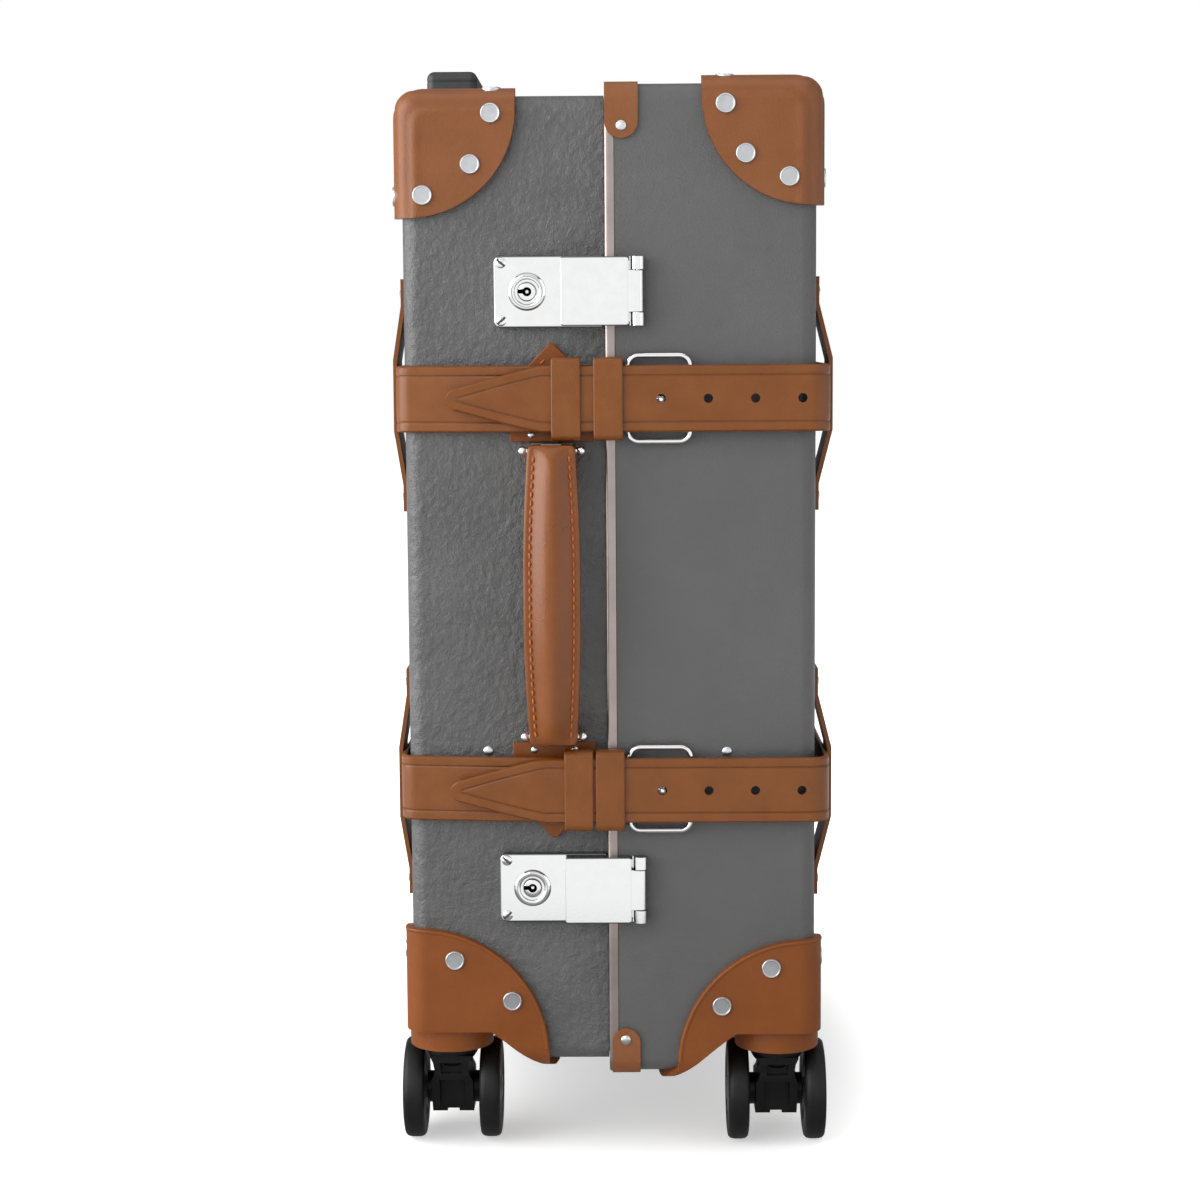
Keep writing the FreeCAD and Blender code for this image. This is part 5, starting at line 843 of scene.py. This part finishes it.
# Profile of the key ring (radius, height, painted shade): its inner wall, groove and outer slope carry
# painted shade.
KEY_RING = ((4.62, 3.6, 1), (4.62, 4.95, 0.6), (5.0, 5.05, 0), (5.9, 5.05, 0), (6.0, 5.2, 1),
            (6.25, 5.85, 0.3), (6.6, 6.05, 0), (7.2, 6.1, 0), (7.4, 5.85, 0.6), (7.6, 6.1, 0),
            (8.2, 6.0, 0.1), (8.7, 5.6, 0.4), (9.0, 5.1, 0.75), (9.2, 4.6, 0.95), (9.2, 3.6, 1))
SCREW_X, SCREW_OUT, SCREW_RADIUS, SCREW_RISE, SCREW_TURN, SLOT = -49.9, 13.85, 2.6, 1.0, 0.7, 0.9
cases = fresh()
screws = fresh()
for height in LOCK_LEVELS.values():
    spans = ((LOCK_LEFT, LOCK_RIGHT), (0.0, LOCK_RISE), (height - LOCK_HALF, height + LOCK_HALF))
    bore = fresh()
    bmesh.ops.create_cone(bore, cap_ends=True, segments=32, radius1=PLUG_RADIUS + PLUG_FIT,
                          radius2=PLUG_RADIUS + PLUG_FIT, depth=8, matrix=outward(PLUG_X, 4.2, height))
    added(cases, drilled(plate(spans, 3.2, 0.55, -1), bore))
    added(cases, lathed(KEY_RING, 48, outward(PLUG_X, 0, height)))
    for up in (-1, 1):
        centre = Vector((SCREW_X, -NEAR - LOCK_RISE - SCREW_RISE, height + up * SCREW_OUT))
        seat = Matrix.Translation(centre) @ Matrix.Rotation(SCREW_TURN * up, 4, "Y")
        head = drilled(dome(SCREW_RADIUS, SCREW_RISE, 24, facing(centre, TO_LOCKS)),
                       block(fresh(), seat, (7, 1.4, SLOT)))
        # Painted shade in the screw slot.
        layer = head.verts.layers.float["painted_shade_and_burnish"]
        across = seat.to_3x3() @ UPRIGHT
        for vert in head.verts:
            if abs((vert.co - centre).dot(across)) < SLOT / 2 + 0.01:
                vert[layer] = 1.0
        added(screws, head)
fitted("lock_case_chrome", cases, chrome, "base", "chrome", "lock_cases")
fitted("lock_screw_chrome", screws, chrome, "base", "chrome", "lock_screws")

# Profile of the key plug (radius, height, painted shade): its sides and foot carry painted shade inside the
# ring.
PLUG = ((0, 5.3, 0), (PLUG_RADIUS - 0.7, 5.3, 0), (PLUG_RADIUS - 0.25, 5.0, 0.4),
        (PLUG_RADIUS - 0.25, 0.8, 1), (0, 0.8, 1))
KEY_RADIUS, KEY_RISE, KEY_PIN = 2.2, 5.5, 0.9
BIT_OUT, BIT_UP, BIT_SIZES = 2.6, 0.2, (3.4, 7.6, 2.1)
HASP_LEFT, HASP_END, HASP_HALF, HASP_LOW, HASP_TOP = -21.0, 11.6, 16.5, 5.3, 11.5
HASP_AXIS, HASP_RISE, KNUCKLE, KNUCKLE_HALF = 16.0, 8.6, 3.4, 10.0
HASP_WALL, ROOM_RISE, ROOM_DEEP, ROOM_PAST = 1.5, 6.5, 7.0, 2
STAPLE_LEFT, STAPLE_RIGHT, STAPLE_TOP, STAPLE_HALF = -19.4, -2.0, 9.9, 12.0
for level, height in LOCK_LEVELS.items():
    keyway = fresh()
    bmesh.ops.create_cone(keyway, cap_ends=True, segments=24, radius1=KEY_RADIUS, radius2=KEY_RADIUS, depth=8,
                          matrix=outward(PLUG_X, KEY_RISE, height))
    bit_seat = Matrix.Translation((PLUG_X - BIT_OUT, -NEAR - KEY_RISE, height + BIT_UP))
    plug = drilled(lathed(PLUG, 40, outward(PLUG_X, 0, height)), keyway)
    plug = drilled(plug, block(fresh(), bit_seat, BIT_SIZES))
    added(plug, rod((PLUG_X, -NEAR - 1.2, height), (PLUG_X, -NEAR - 4.2, height), KEY_PIN, 16))
    fitted(f"{level}_plug_chrome", plug, chrome, f"{level}_key_plug", "chrome", f"{level}_key_plug")
    fitted(f"{level}_bolt_steel", softened(taken(f"{level}_lock_bolt"), 0.15, 2, 50), rivet_steel,
           f"{level}_lock_bolt", "steel", f"{level}_lock_bolt")

    hasp_spans = ((HASP_LEFT, HASP_END), (HASP_LOW, HASP_TOP), (height - HASP_HALF, height + HASP_HALF))
    room_seat = Matrix.Translation(((HASP_LEFT + HASP_END) / 2 + ROOM_PAST, -NEAR - ROOM_RISE, height))
    room = block(fresh(), room_seat, (HASP_END - HASP_LEFT, ROOM_DEEP, 2 * (HASP_HALF - HASP_WALL)))
    hasp = drilled(plate(hasp_spans, 1.2, 0.35), room)
    tab_spans = ((HASP_END - HASP_WALL, HASP_AXIS - 0.8), (HASP_TOP - HASP_WALL, HASP_TOP - 0.05),
                 (height - KNUCKLE_HALF, height + KNUCKLE_HALF))
    added(hasp, plate(tab_spans, 0.5, 0.2, outlined=False))
    barrel = rod((HASP_AXIS, -NEAR - HASP_RISE, height - KNUCKLE_HALF),
                 (HASP_AXIS, -NEAR - HASP_RISE, height + KNUCKLE_HALF), KNUCKLE - 0.4)
    added(hasp, dark_flanks(barrel, HASP_AXIS - KNUCKLE))
    staple = taken(f"{level}_hasp")
    split(staple, (STAPLE_LEFT, 0, 0), SIDEWAYS, 1)
    split(staple, (STAPLE_RIGHT, 0, 0), SIDEWAYS, -1)
    split(staple, (0, -NEAR - STAPLE_TOP, 0), -TO_LOCKS, 1)
    for up in (-1, 1):
        split(staple, (0, 0, height + up * STAPLE_HALF), UPRIGHT * up, -1)
    bmesh.ops.remove_doubles(staple, verts=staple.verts, dist=MERGE_GAP)
    added(hasp, staple)
    fitted(f"{level}_hasp_chrome", hasp, chrome, f"{level}_hasp", "chrome", f"{level}_hasp")
leaves = dark_flanks(softened(taken("hasp_leaves"), 0.35, 2, 50), HASP_AXIS - KNUCKLE - 0.2)
fitted("hasp_leaf_chrome", leaves, chrome, "lid", "chrome", "hasp_leaves")


# Carry handle.
# The handle is padded leather: a stuffed ridge between two stitched flanges, on two pins with
# chrome balls. Pointed patches of tan leather, riveted and sewn to the base, back its posts.
handle_leather = finish("handle_leather", (0.196, 0.055, 0.008), (0.236, 0.070, 0.012), 0.28, specular=0.46,
                        mottle=60, grain=1200, depth=0.00005, wave=1.0, wave_scale=240, shade_tone=0.5)
thread = finish("thread", (0.46, 0.112, 0.020), (0.54, 0.140, 0.028), 0.6, specular=0.3, mottle=300,
                grain=2600, depth=0.00008)
HANDLE_X, HANDLE_END, RIDGE = -26.0, 72.9, 4.6
HANDLE_RISE, HANDLE_FALL, UNDER_RISE, UNDER_FALL = 30.0, 7.0, 16.0, 1.5
LEG_START, LEG_RUN, LEG_TOP, LEG_FOOT = 48, 11, 14.5, 4.1
HANDLE_HALF, HANDLE_TAPER, TAPER_START = 13.8, 2.3, 0.2
END_DIP, END_DIP_RUN, END_ROUND, END_ROUND_RUN, RIDGE_RUN = 0.9, 1.6, 2.2, 2.4, 12.0


def handle_row(z):
    """Inside, top of the flange and half width of the handle at a distance from its middle."""
    share = abs(z) / HANDLE_END
    left = HANDLE_END - abs(z)
    top = HANDLE_RISE - HANDLE_FALL * share ** 2 - RIDGE
    if left < END_DIP_RUN:
        top -= END_DIP * (1 - left / END_DIP_RUN) ** 2
    inner = UNDER_RISE - UNDER_FALL * share ** 2
    if abs(z) > LEG_START:
        inner = max(LEG_FOOT, LEG_TOP - (LEG_TOP - LEG_FOOT) * (abs(z) - LEG_START) / LEG_RUN)
    wide = HANDLE_HALF - HANDLE_TAPER * max(0.0, (share - TAPER_START) / (1 - TAPER_START)) ** 1.6
    if left < END_ROUND_RUN:
        wide -= END_ROUND * (1 - math.sqrt(1 - (1 - left / END_ROUND_RUN) ** 2))
    return inner, top, wide


def handle_section(z):
    """Section of the handle: flat flanges with a padded ridge between them; its lower edges and the foot of
    the ridge carry painted shade.
    """
    inner, top, wide = handle_row(z)
    lift = (1 - max(0.0, 1 - (HANDLE_END - abs(z)) / RIDGE_RUN) ** 2) * RIDGE
    side = [(wide - 0.7, inner, 0.2), (wide, inner + 0.7, 0.2), (wide, top - 1.3, 0.0),
            (wide - 0.25, top - 0.5, 0.0), (wide - 0.8, top - 0.1, 0.0), (wide - 1.6, top, 0.0),
            (wide - 2.9, top - 0.15, 0.1), (wide - 3.6, top - 0.1, 0.1)]
    for part in range(1, 8):
        share = part / 8
        side.append(((wide - 4.0) * (1 - share), top + lift * math.sin(math.pi / 2 * share) ** 1.15, 0.0))
    return side + [(0.0, top + lift, 0.0)] + [(-across, rise, shade_share) for across, rise, shade_share in side[::-1]]


def stitch(mesh, start, end, thick=1.1, rise=0.9):
    """One stitch between two points, half sunk into the leather."""
    start, end = Vector(start), Vector(end)
    way = end - start
    side = way.cross(TO_LOCKS).normalized()
    front = side.cross(way).normalized()
    turn = Matrix((side, front, way.normalized())).transposed().to_4x4()
    seat = Matrix.Translation((start + end) / 2) @ turn @ Matrix.Diagonal((thick, rise, way.length, 1))
    bmesh.ops.create_uvsphere(mesh, u_segments=10, v_segments=6, radius=0.5, matrix=seat)


levels = [-HANDLE_END + part for part in (0.0, 0.25, 0.6, 1.1, 1.8, 2.6, 3.6, 5.0, 6.6)]
levels += [-66 + 3 * part for part in range(1, 44)] + [-value for value in levels[::-1]]
handle = fresh()
stations = [(Vector((HANDLE_X, -NEAR, MIDDLE + z)), SIDEWAYS, TO_LOCKS) for z in levels]
looped(handle, stations, [handle_section(z) for z in levels])
grip = fitted("handle_grip", cleaned(handle), handle_leather, "carry_handle", "handle", "carry_handle")

SEAM_STITCHES, SEAM_START, SEAM_PITCH, STITCH_LONG = 33, -68.5, 4.17, 3.0
SEAM_IN, SEAM_UP, SEAM_THICK, SEAM_PROUD = 3.2, 0.25, 1.2, 1.3
seams = fresh()
for number in range(SEAM_STITCHES):
    z = SEAM_START + SEAM_PITCH * number
    for side in (-1, 1):
        ends = []
        for place in (z, z + STITCH_LONG):
            inner, top, wide = handle_row(place)
            ends.append((HANDLE_X + side * (wide - SEAM_IN), -NEAR - top - SEAM_UP, MIDDLE + place))
        stitch(seams, *ends, SEAM_THICK, SEAM_PROUD)
fitted("handle_stitches", seams, thread, "carry_handle", "handle")

PIN_LEVEL, PIN_HALF, PIN_RADIUS, PIN_RISE, BALL_RADIUS, BALL_OUT = 70.0, 13.5, 1.5, 9.0, 2.35, 14.1
pins = fresh()
for up in (-1, 1):
    row = MIDDLE + up * PIN_LEVEL
    middle = Vector((HANDLE_X, -NEAR - PIN_RISE, row))
    added(pins, rod(middle - SIDEWAYS * PIN_HALF, middle + SIDEWAYS * PIN_HALF, PIN_RADIUS, 20))
    for side in (-1, 1):
        ball = Matrix.Translation(middle + SIDEWAYS * side * BALL_OUT)
        bmesh.ops.create_uvsphere(pins, u_segments=24, v_segments=14, radius=BALL_RADIUS, matrix=ball)
fitted("handle_pin_chrome", pins, chrome, "carry_handle", "chrome", "handle_pins")

bracket_steel = finish("bracket_steel", (0.16, 0.15, 0.14), (0.22, 0.21, 0.20), 0.4, metal=1.0, mottle=120,
                       grain=1800, depth=0.00003)
BRACKET_TOP = 13.0
brackets = taken("handle_brackets")
split(brackets, (0, -NEAR - BRACKET_TOP, 0), TO_LOCKS, -1)
bmesh.ops.holes_fill(brackets, edges=[edge for edge in brackets.edges if edge.is_boundary], sides=0)
fitted("handle_bracket_steel", softened(brackets, 0.3, 2, 50), bracket_steel, "base", "steel",
       "handle_brackets")

PATCH_FOOT, PATCH_SHOULDER, PATCH_TIP = 74.0, 101.5, 121.5
PATCH_HALF, PATCH_NOSE, PATCH_THICK = 20.5, 1.3, 2.5
POST_X, POST_LEVEL, POST_RISE, POST_RADIUS = 10.0, 77.6, 3.6, 1.8
patches = fresh()
post_rivets = fresh()
for up in (-1, 1):
    outline = ((-PATCH_HALF, PATCH_FOOT), (PATCH_HALF, PATCH_FOOT), (PATCH_HALF, PATCH_SHOULDER),
               (PATCH_NOSE, PATCH_TIP), (-PATCH_NOSE, PATCH_TIP), (-PATCH_HALF, PATCH_SHOULDER))
    patch = fresh()
    corners = [patch.verts.new((HANDLE_X + x, -NEAR, MIDDLE + up * z)) for x, z in outline]
    face = patch.faces.new(corners)
    raised = bmesh.ops.extrude_face_region(patch, geom=[face])
    lifted = [item for item in raised["geom"] if isinstance(item, bmesh.types.BMVert)]
    bmesh.ops.translate(patch, vec=TO_LOCKS * PATCH_THICK, verts=lifted)
    bmesh.ops.recalc_face_normals(patch, faces=patch.faces)
    added(patches, softened(patch, 0.7, 3, 40))
    for side in (-1, 1):
        seat = outward(HANDLE_X + side * POST_X, POST_RISE, MIDDLE + up * POST_LEVEL)
        added(post_rivets, dome(POST_RADIUS, 1.0, 20, seat))
fitted("handle_patch_leather", patches, housing_skin, "base", "strap", "handle_patches")
fitted("handle_post_rivets", post_rivets, rivet_steel, "base", "steel")

PATCH_STITCHES, PATCH_SEAM_START, PATCH_SEAM_PITCH, PATCH_SEAM_IN, PATCH_SEAM_UP = 4, 4.4, 4.2, 4.6, 0.05
patch_seams = fresh()
for up in (-1, 1):
    for side in (-1, 1):
        for number in range(PATCH_STITCHES):
            begin = PATCH_SEAM_START + PATCH_SEAM_PITCH * number
            ends = []
            for run in (begin, begin + STITCH_LONG):
                share = run / math.hypot(PATCH_HALF, PATCH_TIP - PATCH_SHOULDER)
                level = PATCH_TIP - PATCH_SEAM_IN - (PATCH_TIP - PATCH_SHOULDER) * share
                ends.append((HANDLE_X + side * PATCH_HALF * share, -NEAR - PATCH_THICK - PATCH_SEAM_UP,
                             MIDDLE + up * level))
            stitch(patch_seams, *ends)
fitted("patch_stitches", patch_seams, thread, "base", "strap")


# Trolley.
# Telescopic tubes of anodised aluminium run down inside the back. Their bezel, grip and button are
# moulded in dark grey plastic, the grip in two shells that meet in a fine line.
tube_metal = finish("tube_metal", (0.50, 0.51, 0.52), (0.58, 0.585, 0.59), 0.35, mottle=50, grain=2600,
                    depth=0.00001, metal=1.0)
grip_plastic = finish("grip_plastic", (0.024, 0.0245, 0.025), (0.032, 0.0325, 0.033), 0.45, mottle=60,
                      grain=1600, depth=0.00004, shade_tone=0.2)
for name, body, material, slot in (("trolley_outer_tubes", "base", tube_metal, "tube"),
                                   ("trolley_middle_tubes", "trolley_middle", tube_metal, "tube"),
                                   ("trolley_inner_tubes", "trolley_top", tube_metal, "tube"),
                                   ("trolley_foot_block", "base", grip_plastic, "grip"),
                                   ("trolley_bezel", "base", grip_plastic, "grip"),
                                   ("trolley_button", "trolley_button", grip_plastic, "grip")):
    fitted(f"{name}_form", softened(taken(name), 0.5, 2, 50), material, body, slot, name)
JOINT_DROP, JOINT_HALF = 5.35, 0.35
trolley_grip = softened(taken("trolley_grip"), 1.0, 3, 50)
layer = trolley_grip.verts.layers.float["painted_shade_and_burnish"]
joint_z = max(vert.co.z for vert in trolley_grip.verts) - JOINT_DROP
for step in (1, 0, -1):
    split(trolley_grip, (0, 0, joint_z + step * JOINT_HALF), UPRIGHT)
trolley_grip.normal_update()
joint = [(vert, vert.normal.copy()) for vert in trolley_grip.verts if abs(vert.co.z - joint_z) < 0.01]
# The fine joint line between the grip shells is a shallow groove painted dark as shade in the gap.
for vert, out in joint:
    vert.co -= Vector((out.x, out.y, 0)).normalized() * JOINT_HALF
    vert[layer] = 1.0
fitted("trolley_grip_form", trolley_grip, grip_plastic, "trolley_top", "grip", "trolley_grip")


# Casters.
# Each corner stands on a swivelling fork of black nylon with two wheels: black rubber treads round
# grey nylon discs with ribs.
fork_nylon = finish("fork_nylon", (0.005, 0.005, 0.0053), (0.009, 0.009, 0.0094), 0.34, specular=0.25,
                    mottle=80, grain=1800, depth=0.00004)
wheel_rubber = finish("wheel_rubber", (0.006, 0.006, 0.006), (0.010, 0.010, 0.010), 0.46, specular=0.3,
                      mottle=90, grain=1500, depth=0.00005)
disc_nylon = finish("disc_nylon", (0.13, 0.13, 0.135), (0.17, 0.17, 0.175), 0.36, mottle=120, grain=1500,
                    depth=0.00003)
# Profiles (radius, height, painted shade): the tread where it meets the disc and the corners of the disc's
# recess carry painted shade.
TREAD = ((17.0, -4.7, 0.4), (17.6, -5.1, 0), (22.0, -5.35, 0), (23.9, -5.0, 0), (25.0, -3.9, 0),
         (25.4, -2.2, 0), (25.45, 0, 0), (25.4, 2.2, 0), (25.0, 3.9, 0), (23.9, 5.0, 0), (22.0, 5.35, 0),
         (17.6, 5.1, 0), (17.0, 4.7, 0.4))
DISC = ((2.6, -5.4, 0), (5.2, -5.4, 0), (5.9, -4.7, 0.3), (16.2, -3.9, 0.2), (16.8, -4.6, 0),
        (17.05, -4.7, 0), (17.05, 4.7, 0), (16.8, 4.6, 0), (16.2, 3.9, 0.2), (5.9, 4.7, 0.3), (5.2, 5.4, 0),
        (2.6, 5.4, 0))
RIBS, RIB_RADIUS, RIB_SIZES = 6, 11.2, (10.8, 1.8, 9.6)
FORK_NECK, FORK_HALF, STEM_IN, STEM_SIDE = 47.6, 10.5, 18, 20.5
CROWN = ((0, 0, 0), (12.6, 0, 0), (12.7, -0.5, 0), (11.6, -2.2, 0), (9.4, -4.6, 0), (8.6, -6.0, 0),
         (0, -6.0, 0))
WAIST = ((FORK_NECK, 1.0), (44.5, 0.86), (40.0, 0.80), (36.0, 0.88), (33.4, 1.0))
for half, sizes in CASE.items():
    for end, way in (("near", -1), ("far", 1)):
        pivot = Vector((sizes["side"] * (sizes["face"] - STEM_IN), way * (sizes["half"] - STEM_SIDE),
                        FORK_NECK))
        fork = taken(f"{half}_{end}_fork")
        for level, share in WAIST:
            split(fork, (0, 0, level), UPRIGHT)
        for vert in fork.verts:
            away = vert.co.x - pivot.x
            for (upper, wide), (lower, narrow) in zip(WAIST, WAIST[1:]):
                if lower <= vert.co.z <= upper and abs(away) <= FORK_HALF + 0.1:
                    share = narrow + (wide - narrow) * (vert.co.z - lower) / (upper - lower)
                    vert.co.x = pivot.x + away * share
                    break
        fork = softened(fork, 0.6, 3, 50)
        added(fork, lathed(CROWN, 32, Matrix.Translation(pivot)))
        fitted(f"{half}_{end}_fork_form", fork, fork_nylon, f"{half}_{end}_caster", "fork",
               f"{half}_{end}_fork")
        for hand in ("left", "right"):
            node = f"{half}_{end}_{hand}_wheel"
            low, high = boxed(node)
            hub = facing((low + high) / 2, SIDEWAYS)
            fitted(f"{node}_tread", lathed(TREAD + TREAD[:1], 64, hub), wheel_rubber, node, "tyre", node)
            disc = lathed(DISC + DISC[:1], 48, hub)
            for number in range(RIBS):
                turn = Matrix.Rotation(2 * math.pi / RIBS * number, 4, "Z")
                rib = block(fresh(), hub @ turn @ Matrix.Translation((RIB_RADIUS, 0, 0)), RIB_SIZES)
                added(disc, softened(rib, 0.35, 2, 50))
            fitted(f"{node}_disc", disc, disc_nylon, node, "tyre")


# Hinges.
# Three cranked steel hinges join the halves on the far side. Each has two leaves riveted to the
# shells, with their knuckles on one pin.
for name, body in (("hinge_base_leaves", "base"), ("hinge_lid_leaves", "lid"), ("hinge_pins", "base")):
    fitted(f"{name}_steel", softened(taken(name), 0.25, 2, 50), rivet_steel, body, "steel", name)


# Floor.
# The case stands on a wide sheet of pale paper. The camera sees it glow to white away from the
# case; nearer the case the glow is weaker, a painted darkening round the case where its shadow falls.
# The bright metal mirrors a dim patch of it that shows only to glossy rays, a painted dark reflection.
def fading(tree, distance, near, far, low):
    """Value that rises softly from low to 1 between two distances."""
    return shader(tree, "MapRange", {"From Min": near, "From Max": far, "To Min": low, "To Max": 1.0},
                  {"Value": distance}, interpolation_type="SMOOTHSTEP").outputs["Result"]


def looked_at(tree, rays):
    """Value that is 1 for what is seen straight or through glass, and 0 for the light on the case."""
    return shader(tree, "Math", feeds={0: rays["Is Camera Ray"], 1: rays["Is Transmission Ray"]},
                  operation="MAXIMUM").outputs["Value"]


FLOOR_HALF = 8.0
PAPER_LOOKS = {"Base Color": (0.80, 0.80, 0.80, 1), "Roughness": 0.9, "Specular IOR Level": 0.1}
GLOW_SQUEEZE, GLOW_NEAR, GLOW_FAR, GLOW_LOW = (2.1, 1, 1), 0.22, 0.40, 0.46
MIRROR_NEAR, MIRROR_FAR, MIRROR_LOW = 0.45, 0.75, 0.28
paper = bpy.data.materials.new("floor_paper")
paper.use_nodes = True
tree = paper.node_tree
surface = tree.nodes["Principled BSDF"]
for socket, value in PAPER_LOOKS.items():
    surface.inputs[socket].default_value = value
place = shader(tree, "TexCoord").outputs["Object"]
rays = shader(tree, "LightPath").outputs
narrowed = shader(tree, "VectorMath", {1: GLOW_SQUEEZE}, {0: place}, operation="MULTIPLY").outputs["Vector"]
near_case = shader(tree, "VectorMath", feeds={0: narrowed}, operation="LENGTH").outputs["Value"]
# Painted shade: the glow is weaker near the case, so the floor round the case is darker.
spread = fading(tree, near_case, GLOW_NEAR, GLOW_FAR, GLOW_LOW)
seen = shader(tree, "Math", feeds={0: spread, 1: looked_at(tree, rays)}, operation="MULTIPLY")
glow = shader(tree, "Emission", feeds={"Strength": seen.outputs["Value"]}).outputs["Emission"]
glowing = shader(tree, "AddShader", feeds={0: surface.outputs["BSDF"], 1: glow}).outputs["Shader"]
reach = shader(tree, "VectorMath", feeds={0: place}, operation="LENGTH").outputs["Value"]
# Painted dark reflection: to glossy rays the floor shows only a dim glow near the case.
dim = fading(tree, reach, MIRROR_NEAR, MIRROR_FAR, MIRROR_LOW)
mirrored = shader(tree, "Emission", feeds={"Strength": dim}).outputs["Emission"]
shown = shader(tree, "MixShader", feeds={"Fac": rays["Is Glossy Ray"], 1: glowing, 2: mirrored})
tree.links.new(shown.outputs["Shader"], tree.nodes["Material Output"].inputs["Surface"])
ground = bmesh.new()
bmesh.ops.create_grid(ground, x_segments=1, y_segments=1, size=FLOOR_HALF)
ground_data = bpy.data.meshes.new("floor")
ground.to_mesh(ground_data)
ground.free()
ground_data.materials.append(paper)
floor = bpy.data.objects.new("floor", ground_data)
bpy.context.scene.collection.objects.link(floor)


# Studio.
# An even white room with large soft lamps beside the case. Bright metal mirrors a white front and
# greyer walls.
FRONT_START, FRONT_FULL, SIDE_WALLS, ROOM_LIGHT = -0.55, -0.92, 0.30, 0.28
world = bpy.data.worlds.new("room")
bpy.context.scene.world = world
world.use_nodes = True
air = world.node_tree
rays = shader(air, "LightPath").outputs
way = shader(air, "TexCoord").outputs["Generated"]
along = shader(air, "SeparateXYZ", feeds={"Vector": way}).outputs["Y"]
front = fading(air, along, FRONT_START, FRONT_FULL, SIDE_WALLS)
walls = shader(air, "Mix", {"A": ROOM_LIGHT}, {"Factor": rays["Is Glossy Ray"], "B": front}).outputs["Result"]
level = shader(air, "Mix", {"B": 1.0}, {"Factor": looked_at(air, rays), "A": walls}).outputs["Result"]
backdrop = air.nodes["Background"]
backdrop.inputs["Color"].default_value = (1, 1, 1, 1)
air.links.new(level, backdrop.inputs["Strength"])


def lamp(name, place, target, size, power):
    """Soft lamp with a rectangular face, turned to a point."""
    light = bpy.data.lights.new(name, "AREA")
    light.shape = "RECTANGLE"
    light.size, light.size_y = size
    light.energy = power
    thing = bpy.data.objects.new(name, light)
    thing.location = place
    thing.rotation_euler = (Vector(target) - Vector(place)).to_track_quat("-Z", "Y").to_euler()
    bpy.context.scene.collection.objects.link(thing)


lamp("left_lamp", (-1.7, -0.62, 0.95), (0, 0, 0.35), (2.0, 1.9), 50)
lamp("right_lamp", (1.7, -0.8, 0.95), (0, 0, 0.3), (2.0, 1.9), 9)
lamp("front_lamp", (-1.1, -2.2, 1.35), (-0.1, -0.2, 0.35), (1.2, 1.2), 10)
lamp("top_lamp", (0, -0.5, 2.2), (0, 0, 0.3), (2.2, 1.8), 11)

# The camera stands a little above the middle of the narrow side with the locks.
CAMERA_PLACE = (0.0097, -1.3835, 0.4124)
YAW, PITCH, ROLL = math.radians(-0.617), math.radians(6.325), math.radians(-0.377)
lens = bpy.data.cameras.new("camera")
lens.lens = 73.5
lens.sensor_width = 36.0
camera = bpy.data.objects.new("camera", lens)
camera.matrix_world = (Matrix.Translation(CAMERA_PLACE) @ Matrix.Rotation(-YAW, 4, "Z")
                       @ Matrix.Rotation(math.pi / 2 - PITCH, 4, "X") @ Matrix.Rotation(ROLL, 4, "Z"))
bpy.context.scene.collection.objects.link(camera)
bpy.context.scene.camera = camera
bpy.context.scene.view_settings.view_transform = "Standard"
